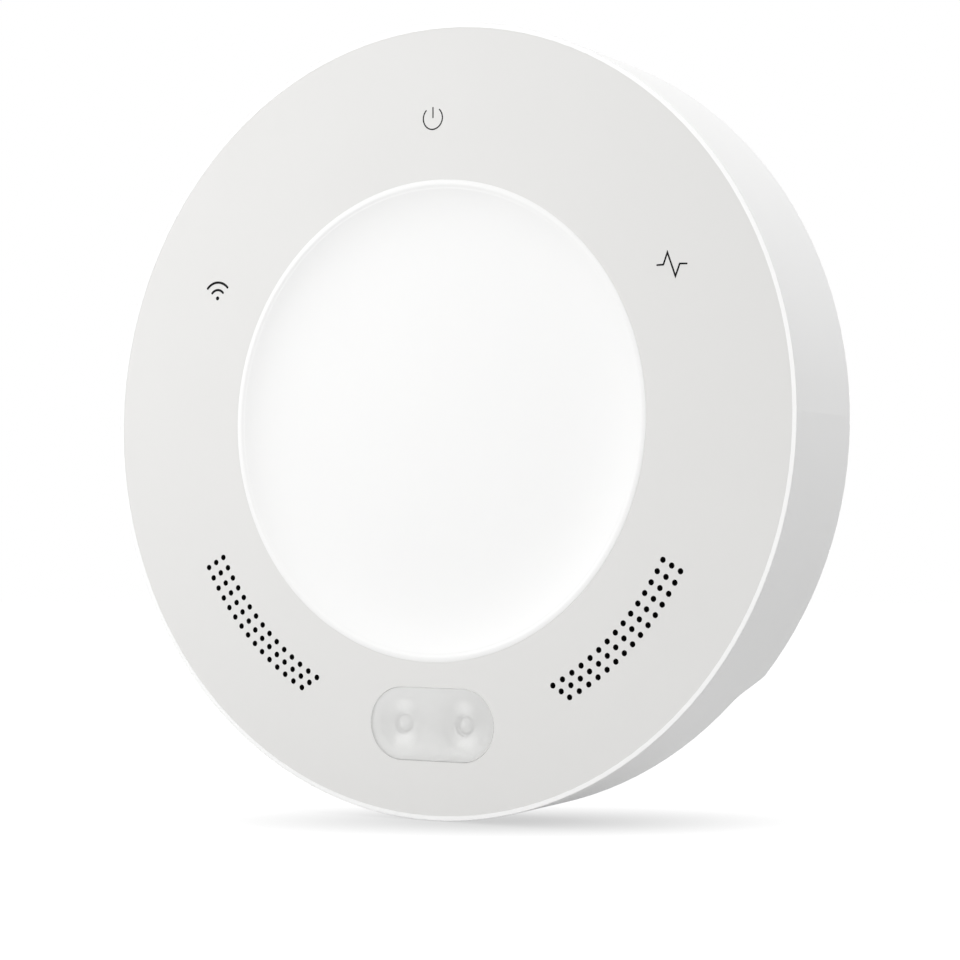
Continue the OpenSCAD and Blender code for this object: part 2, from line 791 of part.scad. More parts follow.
// Gaps under and over the coil
coil_under = 0.1;
coil_over = 0.4;
coil_r = (relay_h - relay_skin - coil_over - coil_under - yoke_top_h) / 2;
coil_axis_h = yoke_top_h + coil_under + coil_r;
core_r = coil_r / 2;
// Room for the armature and the contact in front of the core, and for the yoke's upright behind the coil
contact_room = 4.6;
yoke_room = 1.6;
coil_end = relay_l / 2 - contact_room;
yoke_back = -relay_l / 2 + yoke_room;
pivot_lift = 0.5;
pivot_h = yoke_top_h + pivot_lift;
pivot_r = 0.4;
// The armature closes to a small gap off the core at the end of its tilt
pole_gap = 0.15;
armature_t = 0.8;
armature_x = coil_end + pole_gap + (coil_axis_h + core_r - pivot_h) * tan(armature_tilt);
armature_half_w = 2.3;
ear_w = 0.6;
yoke_half_w = armature_half_w + slide_gap + ear_w;

// Moulded base of the relay
module relay_base() {
    color("royalblue") stand() on_back(-relay_x, -relay_drop)
        block([-relay_l / 2, -relay_w / 2, 0], [relay_l / 2, relay_w / 2, relay_base_h]);
}

// Coil on its bobbin, with the core's pole towards the armature
module relay_coil() {
    back = yoke_back + yoke_t;
    cheek_t = 0.6;
    pole_l = 0.6;
    winding_dip = coil_r / 7;
    front = coil_end - pole_l;
    color("peru") stand() on_back(-relay_x, -relay_drop) translate([0, 0, coil_axis_h]) rotate([0, 90, 0]) {
        post(coil_r - winding_dip, back, front);
        post(coil_r, back, back + cheek_t);
        post(coil_r, front - cheek_t, front);
        post(core_r, back, coil_end);
    }
}

// Iron yoke under the coil, with two ears that hold the armature's pivot
module relay_yoke() {
    ear_margin = 0.9;
    ear_x = armature_x + armature_t + ear_margin;
    color("slategray") stand() on_back(-relay_x, -relay_drop) difference() {
        union() {
            block([yoke_back, -yoke_half_w, relay_base_h], [coil_end, yoke_half_w, yoke_top_h]);
            block([yoke_back, -yoke_half_w, relay_base_h],
                  [yoke_back + yoke_t, yoke_half_w, coil_axis_h + coil_r]);
            for (s = [-1, 1]) {
                y = [s * (armature_half_w + slide_gap), s * yoke_half_w];
                block([coil_end - eps, min(y), relay_base_h], [ear_x, max(y), pivot_h + ear_margin]);
            }
        }
        translate([armature_x + armature_t / 2, 0, pivot_h]) rotate([90, 0, 0])
            cylinder(r = pivot_r + slide_gap, h = 3 * yoke_half_w, center = true);
    }
}

// Armature that tilts towards the core on its pivot pin
module relay_armature() {
    top = relay_h - relay_skin - coil_over;
    color("lightsteelblue") stand() on_back(-relay_x, -relay_drop) {
        block([armature_x, -armature_half_w, pivot_h], [armature_x + armature_t, armature_half_w, top]);
        translate([armature_x + armature_t / 2, 0, pivot_h]) rotate([90, 0, 0])
            cylinder(r = pivot_r, h = 2 * yoke_half_w, center = true);
    }
}

// Contact blade that the armature leaves when the relay closes
module relay_contact() {
    rest_gap = 0.15;
    t = 0.3;
    half_w = 1;
    offset = 1;
    x = armature_x + armature_t + rest_gap;
    top = relay_h - relay_skin - coil_over;
    bend = (pivot_h + pivot_r + top) / 2;
    color("gold") stand() on_back(-relay_x, -relay_drop) {
        block([x, -half_w, bend], [x + t, half_w, top]);
        block([x, -half_w, bend], [x + offset + t, half_w, bend + t]);
        block([x + offset, -half_w, relay_base_h], [x + offset + t, half_w, bend + t]);
    }
}

// Thin moulded cap over the relay
module relay_cover() {
    color("dodgerblue") stand() on_back(-relay_x, -relay_drop) difference() {
        block([-relay_l / 2, -relay_w / 2, relay_base_h], [relay_l / 2, relay_w / 2, relay_h]);
        block([-relay_l / 2 + relay_skin, -relay_w / 2 + relay_skin, relay_base_h - eps],
              [relay_l / 2 - relay_skin, relay_w / 2 - relay_skin, relay_h - relay_skin]);
    }
}

// Door terminal: length, chambers and tabs, with heights above the main board's back
terminal_l = 12;
terminal_wall = 1.1;
terminal_w = 2 * wire_pitch + 2 * terminal_wall;
chamber_w = 4.2;
wire_run = 5;
back_wall = 1;
chamber_y = [connector_y + wire_run, connector_y + terminal_l - back_wall];
chamber_floor = 0.7;
chamber_roof = 0.5;
chamber_h = [chamber_floor, terminal_h - chamber_roof];
// Material over a wire hole, and between it and the tab's channel
wire_cover = 0.7;
wire_web = 1;
wire_h = terminal_h - wire_cover - wire_r;
tab_h = [chamber_floor + 2 * fit_gap, wire_h - wire_r - wire_web];
tab_w = 3.2;
tab_head = [3.9, 0.8];

// Puts a piece at the left or right pole of the door terminal
module at_pole(s) {
    on_back(-terminal_x + s * wire_pitch / 2, 0) children();
}

// Moulded body of the door terminal, with a wire hole, a tab channel and a chamber for each pole
module terminal_block() {
    color("darkslategray") stand() difference() {
        on_back(-terminal_x, 0)
            block([-terminal_w / 2, connector_y, 0],
                  [terminal_w / 2, connector_y + terminal_l, terminal_h]);
        for (s = [-1, 1]) at_pole(s) {
            translate([0, connector_y, wire_h]) rotate([-90, 0, 0])
                post(wire_r, -eps, chamber_y[0] - connector_y + eps);
            block([-tab_w / 2 - slide_gap, connector_y - eps, tab_h[0] - slide_gap],
                  [tab_w / 2 + slide_gap, chamber_y[0] + eps, tab_h[1] + slide_gap]);
            block([-chamber_w / 2, chamber_y[0], chamber_h[0]],
                  [chamber_w / 2, chamber_y[1], chamber_h[1]]);
        }
    }
}

// Bent spring clamp in each chamber of the door terminal
module terminal_clamps() {
    t = 0.35;
    width = 2.6;
    tab_gap = 0.4;
    tip_drop = 0.6;
    tip_t = 0.3;
    back = chamber_y[1];
    front = chamber_y[0] + tab_travel + tab_head[1] + tab_gap;
    tip_h = wire_h - tip_drop;
    color("goldenrod") stand() for (s = [-1, 1]) at_pole(s) across(width, [
        [back, chamber_h[0]], [back, chamber_h[1]], [front, chamber_h[1]], [front, chamber_h[1] - t],
        [back - t, chamber_h[1] - t], [back - t, chamber_h[0] + 2 * t],
        [front + t, tip_h], [front, tip_h - tip_t], [back - t, chamber_h[0]]
    ]);
}

// Push tab that opens one wire clamp
module release_tab(s) {
    y = [connector_y - tab_proud, chamber_y[0] + slide_gap, chamber_y[0] + slide_gap + tab_head[1]];
    color("orange") stand() at_pole(s) {
        block([-tab_w / 2, y[0], tab_h[0]], [tab_w / 2, y[2], tab_h[1]]);
        block([-tab_head[0] / 2, y[1], tab_h[0]], [tab_head[0] / 2, y[2], tab_h[1]]);
    }
}

// Metal shell of the power socket
socket_l = 5.6;
socket_skin = 0.3;
module power_socket() {
    color("silver") stand() on_back(socket_x, 0) difference() {
        block([-socket_w / 2, connector_y, 0], [socket_w / 2, connector_y + socket_l, socket_h]);
        block([-socket_w / 2 + socket_skin, connector_y - eps, socket_skin],
              [socket_w / 2 - socket_skin, connector_y + socket_l - socket_skin, socket_h - socket_skin]);
    }
}

// Contact tongue in the power socket
module power_tongue() {
    t = 0.6;
    side_gap = 1.4;
    mouth_gap = 0.8;
    root_t = 1;
    half_w = socket_w / 2 - socket_skin - side_gap;
    back = connector_y + socket_l - socket_skin;
    color("black") stand() on_back(socket_x, 0) {
        block([-half_w, connector_y + mouth_gap, (socket_h - t) / 2], [half_w, back, (socket_h + t) / 2]);
        block([-half_w, back - root_t, socket_skin], [half_w, back, socket_h - socket_skin]);
    }
}

// Reset button levels: its axis above the main board's back, and its places along Y
button_h = 2.4;
button_flange = [2.1, 1];
button_x = 1;
flange_y = -well_drop + slide_gap;
neck_r = 0.9;
switch_gap = 1.2;
switch_y = flange_y + button_flange[1] + button_travel + switch_gap;
neck_bore = 2;

// Push switch behind the reset button
module reset_switch() {
    size = [6, 3.6, 4.2];
    color("black") stand() on_back(button_x, 0) difference() {
        block([-size[0] / 2, switch_y, 0], [size[0] / 2, switch_y + size[1], size[2]]);
        translate([0, switch_y, button_h]) rotate([-90, 0, 0])
            post(neck_r + slide_gap, -eps, neck_bore);
    }
}

// Reset button, guided in the wall of the well and kept there by its flange
module reset_button() {
    outer = well_face_y - button_proud;
    inner = switch_y + neck_bore - button_travel - fit_gap;
    color("lightgray") stand() on_back(button_x, 0) translate([0, 0, button_h]) rotate([-90, 0, 0]) {
        post(button_r, outer, flange_y + eps);
        post(button_flange[0], flange_y, flange_y + button_flange[1]);
        post(neck_r, flange_y, inner);
    }
}

// Back lid: stepped plate, connector well, keyholes, screw bosses and vents
case_grip = 6;
module rear_cover() {
    lower = concat([[cover_r + eps, 0]], step_curve(0), [[-cover_r - eps, step_rise]]);
    upper = [for (i = [len(lower) - 1:-1:0]) lower[i] + [0, cover_t]];
    window_gap = 2 * fit_gap;
    color("whitesmoke") stand() difference() {
        union() {
            intersection() {
                post(cover_r, -eps, body_depth);
                across(body_d, concat(lower, upper));
            }
            difference() {
                intersection() {
                    post(cover_r, 0, well_front_z);
                    block([-well_w / 2 - well_wall, -body_d, 0],
                          [well_w / 2 + well_wall, -well_drop, well_front_z]);
                }
                behind_step(0);
            }
            for (a = case_angles) polar(case_screw_r, a) post(case_boss_r, 0, cover_boss_h);
            for (s = [-1, 1]) translate([s * keyhole_span / 2, keyhole_y]) keyhole_shape(well_wall,
                0, cover_t + keyhole_room + well_wall);
        }
        intersection() {
            post(cover_r - well_lip, -eps, well_z);
            block([-well_w / 2, -body_d, -eps], [well_w / 2, well_face_y, well_z]);
        }
        for (a = case_angles) polar(case_screw_r, a) {
            post(case_screw[2] + pass_gap, -eps, cover_boss_h + eps);
            post(case_screw[0] + fit_gap, -eps, case_sunk + case_screw[1]);
        }
        for (s = [-1, 1]) translate([s * keyhole_span / 2, keyhole_y]) {
            keyhole_shape(0, cover_t, cover_t + keyhole_room);
            post(keyhole_d / 2, -eps, cover_t + eps);
            translate([0, keyhole_slot_l / 2])
                rotate([0, 0, 90])
                    pill(keyhole_slot_l + keyhole_slot_w, keyhole_slot_w, -eps, cover_t + eps);
        }
        for (i = [0:vent_count - 1]) translate([(i - (vent_count - 1) / 2) * 2 * vent_w, -vent_drop])
            rotate([0, 0, 90]) pill(vent_l, vent_w, -eps, cover_t + eps);
        on_back(-terminal_x, 0)
            block([-terminal_w / 2 - window_gap, well_face_y - eps, -eps],
                  [terminal_w / 2 + window_gap, -well_drop + eps, terminal_h + window_gap]);
        on_back(socket_x, 0)
            block([-socket_w / 2 - window_gap, well_face_y - eps, -eps],
                  [socket_w / 2 + window_gap, -well_drop + eps, socket_h + window_gap]);
        on_back(button_x, 0) translate([0, well_face_y, button_h]) rotate([-90, 0, 0])
            post(button_r + slide_gap, -eps, well_wall + eps);
    }
}
case_sunk = 0.6;
vent_drop = 18;

// Space that a wall screw's head slides in, upwards from the entry
module keyhole_shape(margin, z0, z1) {
    translate([0, keyhole_slot_l / 2]) rotate([0, 0, 90])
        pill(keyhole_slot_l + keyhole_d + 2 * margin, keyhole_d + 2 * margin, z0, z1);
}

// Four screws that hold the rear cover
module rear_cover_screws() {
    bearing = case_sunk + case_screw[1];
    color("silver") stand() for (a = case_angles) polar(case_screw_r, a) translate([0, 0, bearing])
        pan_screw(case_screw, cover_boss_h - bearing + case_grip);
}

front_housing();
face_plate();
centre_disc();
warning_lens();
lens_reflector();
warning_leds();
led_board();
led_board_screws();
led_ribbon();
icon_light_guides();
grille_mesh(-1);  // grille_mesh_left
grille_mesh(1);  // grille_mesh_right
speaker_gasket(-1);  // left_speaker_gasket
speaker_frame(-1);  // left_speaker_frame
speaker_magnet(-1);  // left_speaker_magnet
speaker_cone(-1);  // left_speaker_cone
speaker_surround(-1);  // left_speaker_surround
speaker_gasket(1);  // right_speaker_gasket
speaker_frame(1);  // right_speaker_frame
speaker_magnet(1);  // right_speaker_magnet
speaker_cone(1);  // right_speaker_cone
speaker_surround(1);  // right_speaker_surround
speaker_screws();
speaker_contacts();
main_board();
main_board_screws();
status_leds();
board_chips();
capacitors();
wifi_module();
wifi_shield();
relay_base();
relay_coil();
relay_yoke();
relay_armature();
relay_contact();
relay_cover();
terminal_block();
terminal_clamps();
release_tab(-1);  // release_tab_left
release_tab(1);  // release_tab_right
power_socket();
power_tongue();
reset_switch();
reset_button();
rear_cover();
rear_cover_screws();
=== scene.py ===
import math

import bmesh
import bpy
from mathutils import Matrix, Vector


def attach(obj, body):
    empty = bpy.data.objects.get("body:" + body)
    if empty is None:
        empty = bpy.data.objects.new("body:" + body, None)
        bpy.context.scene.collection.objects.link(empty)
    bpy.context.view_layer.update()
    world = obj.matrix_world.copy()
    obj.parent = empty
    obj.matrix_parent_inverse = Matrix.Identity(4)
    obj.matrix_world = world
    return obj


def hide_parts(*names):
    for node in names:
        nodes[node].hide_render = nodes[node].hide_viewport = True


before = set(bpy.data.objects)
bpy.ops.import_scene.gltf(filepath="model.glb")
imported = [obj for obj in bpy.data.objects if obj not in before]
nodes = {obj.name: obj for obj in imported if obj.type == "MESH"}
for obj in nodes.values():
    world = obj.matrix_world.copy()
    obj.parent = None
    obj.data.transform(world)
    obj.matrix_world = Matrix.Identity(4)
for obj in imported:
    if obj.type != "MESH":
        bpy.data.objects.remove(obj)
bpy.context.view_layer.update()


# Front housing: the shell with the side wall, the thin lip round the face and the posts inside.
# Glossy white plastic, moulded in one piece from behind, so the side is seamless.
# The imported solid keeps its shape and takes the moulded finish.
def feed(tree, socket, value):
    """Links an input to what another node gives, or sets it."""
    if isinstance(value, bpy.types.NodeSocket):
        tree.links.new(value, socket)
    else:
        socket.default_value = value


def step(kind, tree, settings=None, **sockets):
    """Adds a node to a tree, with its settings and its inputs by name."""
    node = tree.nodes.new(kind)
    for label, value in (settings or {}).items():
        setattr(node, label, value)
    for label, value in sockets.items():
        feed(tree, node.inputs[label.replace("_", " ")], value)
    return node


def moulded(name, colour, roughness, grain_mm=0.35, relief_mm=0.004, drift=0.03, **sockets):
    """Moulded plastic: a fine tool grain in the relief, with slow drifts of gloss and shade."""
    relief_strength, flow_scale, gloss_swing = 0.6, 45, 0.15
    mat = bpy.data.materials.new(name)
    mat.use_nodes = True
    tree = mat.node_tree
    place = step("ShaderNodeTexCoord", tree).outputs["Object"]
    grain = step("ShaderNodeTexNoise", tree, Vector=place, Scale=1000 / grain_mm, Detail=3)
    flow = step("ShaderNodeTexNoise", tree, Vector=place, Scale=flow_scale, Detail=2)
    relief = step("ShaderNodeBump", tree, Height=grain.outputs["Fac"], Strength=relief_strength,
                  Distance=relief_mm / 1000)
    gloss = step("ShaderNodeMapRange", tree, Value=flow.outputs["Fac"], To_Min=roughness * (1 - gloss_swing),
                 To_Max=roughness * (1 + gloss_swing))
    shade = step("ShaderNodeMix", tree, {"data_type": "RGBA"}, Factor=flow.outputs["Fac"],
                 A=[c * (1 - drift) for c in colour] + [1],
                 B=[min(1, c * (1 + drift / 2)) for c in colour] + [1])
    shader = tree.nodes["Principled BSDF"].inputs
    tree.links.new(gloss.outputs["Result"], shader["Roughness"])
    tree.links.new(shade.outputs["Result"], shader["Base Color"])
    tree.links.new(relief.outputs["Normal"], shader["Normal"])
    for label, value in sockets.items():
        shader[label.replace("_", " ")].default_value = value
    return mat


def dress(material, *names):
    """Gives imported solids, which keep their shape, their finish."""
    for name in names:
        nodes[name].material_slots[0].material = material


dress(moulded("glossy white shell", (0.96, 0.96, 0.955), 0.3, relief_mm=0.0015), "front_housing")


# Face plate: the light grey ring let into the front of the shell, with two fields of sound holes and
# a window for the lens. Satin moulded plastic, glued on the web behind it, a hair lower than the lip.
# The walls of the sound holes take a near black colour as painted shade, so the holes look dark from every side.
def maths(tree, operation, *values):
    """Adds a sum to a tree and gives its result."""
    node = step("ShaderNodeMath", tree, {"operation": operation})
    for socket, value in zip(node.inputs, values):
        feed(tree, socket, value)
    return node.outputs[0]


def planted(name, sizes, shaped=False):
    """Starts a Geometry Nodes tree with a named input for each size, and for a shape to repeat."""
    tree = bpy.data.node_groups.new(name, "GeometryNodeTree")
    tree.interface.new_socket("Piece", in_out="OUTPUT", socket_type="NodeSocketGeometry")
    if shaped:
        tree.interface.new_socket("Shape", in_out="INPUT", socket_type="NodeSocketGeometry")
    for label, value in sizes.items():
        kind = "Int" if isinstance(value, int) else "Float" if isinstance(value, float) else "Vector"
        tree.interface.new_socket(label, in_out="INPUT", socket_type="NodeSocket" + kind)
    return tree, tree.nodes.new("NodeGroupInput").outputs


def joined(tree, parts):
    """Joins what several nodes give, in their order."""
    node = tree.nodes.new("GeometryNodeJoinGeometry")
    for part in parts:
        tree.links.new(part, node.inputs[0])
    return node.outputs["Geometry"]


def ended(tree, geometry, material):
    """Ends a tree in one plain mesh with its material."""
    plain = step("GeometryNodeRealizeInstances", tree, Geometry=geometry)
    finished = step("GeometryNodeSetMaterial", tree, Geometry=plain.outputs["Geometry"], Material=material)
    tree.links.new(finished.outputs["Geometry"], tree.nodes.new("NodeGroupOutput").inputs[0])


def grown(name, tree, sizes, shape=None):
    """Makes a plain mesh of what a Geometry Nodes tree grows from the sizes, and from a shape to repeat."""
    piece = bpy.data.objects.new(name, shape or bpy.data.meshes.new(name))
    bpy.context.scene.collection.objects.link(piece)
    grow = piece.modifiers.new("grow", "NODES")
    grow.node_group = tree
    for socket in tree.interface.items_tree:
        if socket.in_out == "INPUT" and socket.name in sizes:
            grow[socket.identifier] = sizes[socket.name]
    seen = piece.evaluated_get(bpy.context.evaluated_depsgraph_get())
    piece.data = bpy.data.meshes.new_from_object(seen)
    piece.modifiers.clear()
    if piece.data.materials[0] is None:
        piece.data.materials.pop(index=0)
    piece.data.name = name
    return piece


def smooth(piece):
    """Shades round places smooth and keeps the edges between flat ones sharp."""
    piece.data.polygons.foreach_set("use_smooth", [True] * len(piece.data.polygons))
    piece.data.set_sharp_from_angle(angle=math.radians(30))
    return piece


hole_r, hole_count, hole_pitch, hole_circle = 0.475, 15, 2.03, 49.8
field_run, row_gap, row_lean = 39.6, 1.76, math.radians(30)
field_angle = math.pi / 2 - field_run / hole_circle
plate_sizes = {
    "Outer radius": 0.0644, "Inner radius": 0.03949, "Thickness": 0.00117, "Back": 0.021,
    "Hole radius": hole_r / 1000, "Hole circle": hole_circle / 1000, "Hole count": hole_count,
    "Hole spread": (hole_count - 1) * hole_pitch / hole_circle, "Field angle": field_angle,
    "Row shift": Vector((row_gap * math.cos(row_lean), -row_gap * math.sin(row_lean), 0)) / 1000,
    "Window width": 0.02381, "Window height": 0.01201, "Window drop": 0.0496,
    "Pocket radius": 0.0016, "Pocket depth": 0.0008, "Pocket spread": math.radians(62),
}
tree, given = planted("perforated plate", plate_sizes)
outlines = []
for label, facets in (("Outer radius", 288), ("Inner radius", 240)):
    rim = step("GeometryNodeCurvePrimitiveCircle", tree, Resolution=facets, Radius=given[label])
    outlines.append(rim.outputs["Curve"])
start = maths(tree, "MULTIPLY_ADD", given["Hole spread"], -0.5, maths(tree, "MULTIPLY", given["Field angle"], -1))
row = step("GeometryNodeCurveArc", tree, Resolution=given["Hole count"], Radius=given["Hole circle"],
           Start_Angle=start, Sweep_Angle=given["Hole spread"])
spots = step("GeometryNodeCurveToPoints", tree, {"mode": "EVALUATED"}, Curve=row.outputs["Curve"])
hole = step("GeometryNodeCurvePrimitiveCircle", tree, Resolution=28, Radius=given["Hole radius"])
drilled = step("GeometryNodeInstanceOnPoints", tree, Points=spots.outputs["Points"],
               Instance=hole.outputs["Curve"])
for shift in (-1, 0, 1):
    move = step("ShaderNodeVectorMath", tree, {"operation": "SCALE"}, Vector=given["Row shift"], Scale=shift)
    set_off = step("GeometryNodeTransform", tree, Geometry=drilled.outputs["Instances"],
                   Translation=move.outputs["Vector"])
    across = step("GeometryNodeTransform", tree, Geometry=set_off.outputs["Geometry"], Scale=(-1, 1, 1))
    outlines += [set_off.outputs["Geometry"], across.outputs["Geometry"]]
window = step("GeometryNodeCurvePrimitiveQuadrilateral", tree, Width=given["Window width"],
              Height=given["Window height"])
ends = step("GeometryNodeFilletCurve", tree, {"mode": "POLY"}, Curve=window.outputs["Curve"], Count=32,
            Radius=maths(tree, "MULTIPLY", given["Window height"], 0.5), Limit_Radius=True)
drop = step("ShaderNodeCombineXYZ", tree, Y=maths(tree, "MULTIPLY", given["Window drop"], -1))
lowered = step("GeometryNodeTransform", tree, Geometry=ends.outputs["Curve"], Translation=drop.outputs["Vector"])
outlines.append(lowered.outputs["Geometry"])
cut = step("GeometryNodeRealizeInstances", tree, Geometry=joined(tree, outlines)).outputs["Geometry"]
sheet = step("GeometryNodeFillCurve", tree, {"mode": "TRIANGLES"}, Curve=cut)
up = step("ShaderNodeCombineXYZ", tree, Z=1.0).outputs["Vector"]
thick = step("GeometryNodeExtrudeMesh", tree, Mesh=sheet.outputs["Mesh"], Offset=up,
             Offset_Scale=given["Thickness"], Individual=False)
crown = step("GeometryNodeCurveArc", tree, Resolution=3, Radius=given["Hole circle"],
             Start_Angle=maths(tree, "SUBTRACT", math.pi / 2, given["Pocket spread"]),
             Sweep_Angle=maths(tree, "MULTIPLY", given["Pocket spread"], 2))
spots = step("GeometryNodeCurveToPoints", tree, {"mode": "EVALUATED"}, Curve=crown.outputs["Curve"])
bore = step("GeometryNodeCurvePrimitiveCircle", tree, Resolution=32, Radius=given["Pocket radius"])
sunk = step("GeometryNodeInstanceOnPoints", tree, Points=spots.outputs["Points"], Instance=bore.outputs["Curve"])
bores = step("GeometryNodeRealizeInstances", tree, Geometry=sunk.outputs["Instances"]).outputs["Geometry"]
under = step("GeometryNodeFillCurve", tree, {"mode": "TRIANGLES"}, Curve=joined(tree, [cut, bores]))
floors = step("GeometryNodeFillCurve", tree, {"mode": "TRIANGLES"}, Curve=bores)
pits = step("GeometryNodeExtrudeMesh", tree, Mesh=floors.outputs["Mesh"], Offset=up,
            Offset_Scale=given["Pocket depth"], Individual=False)
sides = [thick.outputs["Mesh"]]
for inward in (under, pits):
    sides.append(step("GeometryNodeFlipFaces", tree, Mesh=inward.outputs["Mesh"]).outputs["Mesh"])
welded = step("GeometryNodeMergeByDistance", tree, Geometry=joined(tree, sides), Distance=1e-7)
lift = step("ShaderNodeCombineXYZ", tree, Z=given["Back"])
raised = step("GeometryNodeTransform", tree, Geometry=welded.outputs["Geometry"], Translation=lift.outputs["Vector"])
upright = step("GeometryNodeTransform", tree, Geometry=raised.outputs["Geometry"], Rotation=(math.pi / 2, 0, 0))
ended(tree, upright.outputs["Geometry"],
      moulded("satin grey plate", (0.76, 0.755, 0.742), 0.42, grain_mm=0.22, relief_mm=0.003))

plate = smooth(grown("face_plate_satin", tree, plate_sizes))
edge = plate.modifiers.new("soft edges", "BEVEL")
edge.width = 0.00003
edge.segments = 2
edge.limit_method = "ANGLE"
edge.angle_limit = math.radians(40)
# Painted shade: the hole walls in both sound fields take a near black colour for the shade inside the holes.
plate.data.materials.append(moulded("painted hole shade", (0.012, 0.012, 0.013), 0.8, grain_mm=0.1, drift=0.2,
                                    Specular_IOR_Level=0.1))
field_top, field_side, field_inner, field_outer, wall_lean = -0.015, 0.013, 0.045, 0.055, 0.5
for face in plate.data.polygons:
    x, z = abs(face.center.x), face.center.z
    on_field = z < field_top and x > field_side and field_inner < math.hypot(x, z) < field_outer
    if on_field and abs(face.normal.y) < wall_lean:
        face.material_index = 1
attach(plate, "casing")
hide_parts("face_plate")


# Printed marks: a power sign, signal arcs and a pulse line over the three light guides.
# Dark ink, printed on the plate in one pass, a few hundredths of a millimetre thick.
def into_row(x, y, z):
    """Bench millimetres, with Z out from the wall, as a place in the row frame."""
    return Vector((x, -z, y)) / 1000


def as_mesh(name, bm):
    """A plain mesh with its doubles merged and its faces turned outwards."""
    bmesh.ops.remove_doubles(bm, verts=bm.verts, dist=1e-8)
    bmesh.ops.recalc_face_normals(bm, faces=bm.faces)
    mesh = bpy.data.meshes.new(name)
    bm.to_mesh(mesh)
    bm.free()
    return mesh


def as_piece(name, bm, material, body="casing"):
    """A named piece from a mesh, smooth where it is round."""
    piece = bpy.data.objects.new(name, as_mesh(name, bm))
    piece.data.materials.append(material)
    bpy.context.scene.collection.objects.link(piece)
    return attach(smooth(piece), body)


def strung(bm, rings):
    """Joins rings of points, one after the other, with four sided faces."""
    for low, high in zip(rings, rings[1:]):
        for i in range(len(low)):
            j = (i + 1) % len(low)
            bm.faces.new([low[i], low[j], high[j], high[i]])


ink_low, ink_high = 22.165, 22.195


def inked(bm, points, width):
    """A printed line through the points, with mitred corners and round ends."""
    cap_steps, sharpest = 6, 0.35
    points = [Vector(p) for p in points]
    runs = [(b - a).normalized() for a, b in zip(points, points[1:])]
    left, right = [], []
    for i, point in enumerate(points):
        before, after = runs[max(i - 1, 0)], runs[min(i, len(runs) - 1)]
        along = (before + after).normalized()
        reach = width / 2 / max(along.dot(after), sharpest)
        across = Vector((-along.y, along.x)) * reach
        left.append(point + across)
        right.append(point - across)

    def cap(middle, along):
        side = Vector((-along.y, along.x))
        return [middle + (side * math.cos(a) + along * math.sin(a)) * width / 2
                for a in (math.pi * i / cap_steps for i in range(1, cap_steps))]

    outline = left + cap(points[-1], runs[-1]) + right[::-1] + cap(points[0], -runs[0])
    face = bm.faces.new([bm.verts.new(into_row(p.x, p.y, ink_low)) for p in outline])
    raised = bmesh.ops.extrude_face_region(bm, geom=[face], use_keep_orig=True)
    for part in raised["geom"]:
        if isinstance(part, bmesh.types.BMVert):
            part.co.y = -ink_high / 1000


def bow(x, y, radius, first, last, n=28):
    """Points along a round line between two angles."""
    angles = [math.radians(first + (last - first) * i / n) for i in range(n + 1)]
    return [(x + radius * math.cos(a), y + radius * math.sin(a)) for a in angles]


def dot(bm, x, y, radius):
    """A printed round spot."""
    n = 24
    outline = bow(x, y, radius, 0, 360 - 360 / n, n - 1)
    stack = [[bm.verts.new(into_row(px, py, z)) for px, py in outline] for z in (ink_low, ink_high)]
    strung(bm, stack)
    for ring in stack:
        bm.faces.new(ring)


power_at, power_r, power_span, power_stroke = (0.05, 49.7), 1.85, (134, 406), 0.21
power_bar = [(0.08, 49.8), (0.08, 51.45)]
signal_at, signal_radii, signal_span, signal_stroke = (-43.9, 21.98), (1.55, 2.85), (138, 42), 0.4
signal_dot, signal_dot_r = (-43.9, 22.1), 0.34
pulse = [(41.47, 23.26), (42.56, 23.28), (43.26, 25.17), (44.66, 21.39), (45.41, 23.3), (46.62, 23.24)]
pulse_stroke = 0.27
bm = bmesh.new()
inked(bm, bow(*power_at, power_r, *power_span), power_stroke)
inked(bm, power_bar, power_stroke)
dot(bm, *signal_dot, signal_dot_r)
for radius in signal_radii:
    inked(bm, bow(*signal_at, radius, *signal_span), signal_stroke)
inked(bm, pulse, pulse_stroke)
ink = moulded("dark print ink", (0.012, 0.012, 0.013), 0.8, grain_mm=0.08, relief_mm=0.002, drift=0.2,
              Specular_IOR_Level=0.1)
marks = as_piece("printed_marks", bm, ink)


# Centre disc: a white dished disc with a raised ring, snapped into the web by three hooks.
# Glossy white plastic; the ring catches the light as a thin bright line.
def turned(bm, profile, facets, start=0.0, sweep=360.0, middle=(0, 0)):
    """Turns a profile of radius and height, in millimetres, about a line that stands on the wall."""
    across, up = middle
    whole = sweep >= 360
    turns = facets if whole else facets + 1
    rings = []
    for radius, height in profile:
        if radius < 1e-6 and whole:
            rings.append([bm.verts.new(into_row(across, up, height))])
            continue
        angles = [math.radians(start + sweep * i / facets) for i in range(turns)]
        rings.append([bm.verts.new(into_row(across + radius * math.cos(a), up + radius * math.sin(a), height))
                      for a in angles])
    for low, high in zip(rings, rings[1:]):
        for i in range(facets):
            j = (i + 1) % turns
            corners = [low[i % len(low)], low[j % len(low)], high[j % len(high)], high[i % len(high)]]
            bm.faces.new(list(dict.fromkeys(corners)))
    return rings


def arc(radius, height, r, n, last=90):
    """Points of a round edge, from its side towards its top."""
    angles = [math.radians(last * i / n) for i in range(n + 1)]
    return [(radius + r * math.cos(a), height + r * math.sin(a)) for a in angles]


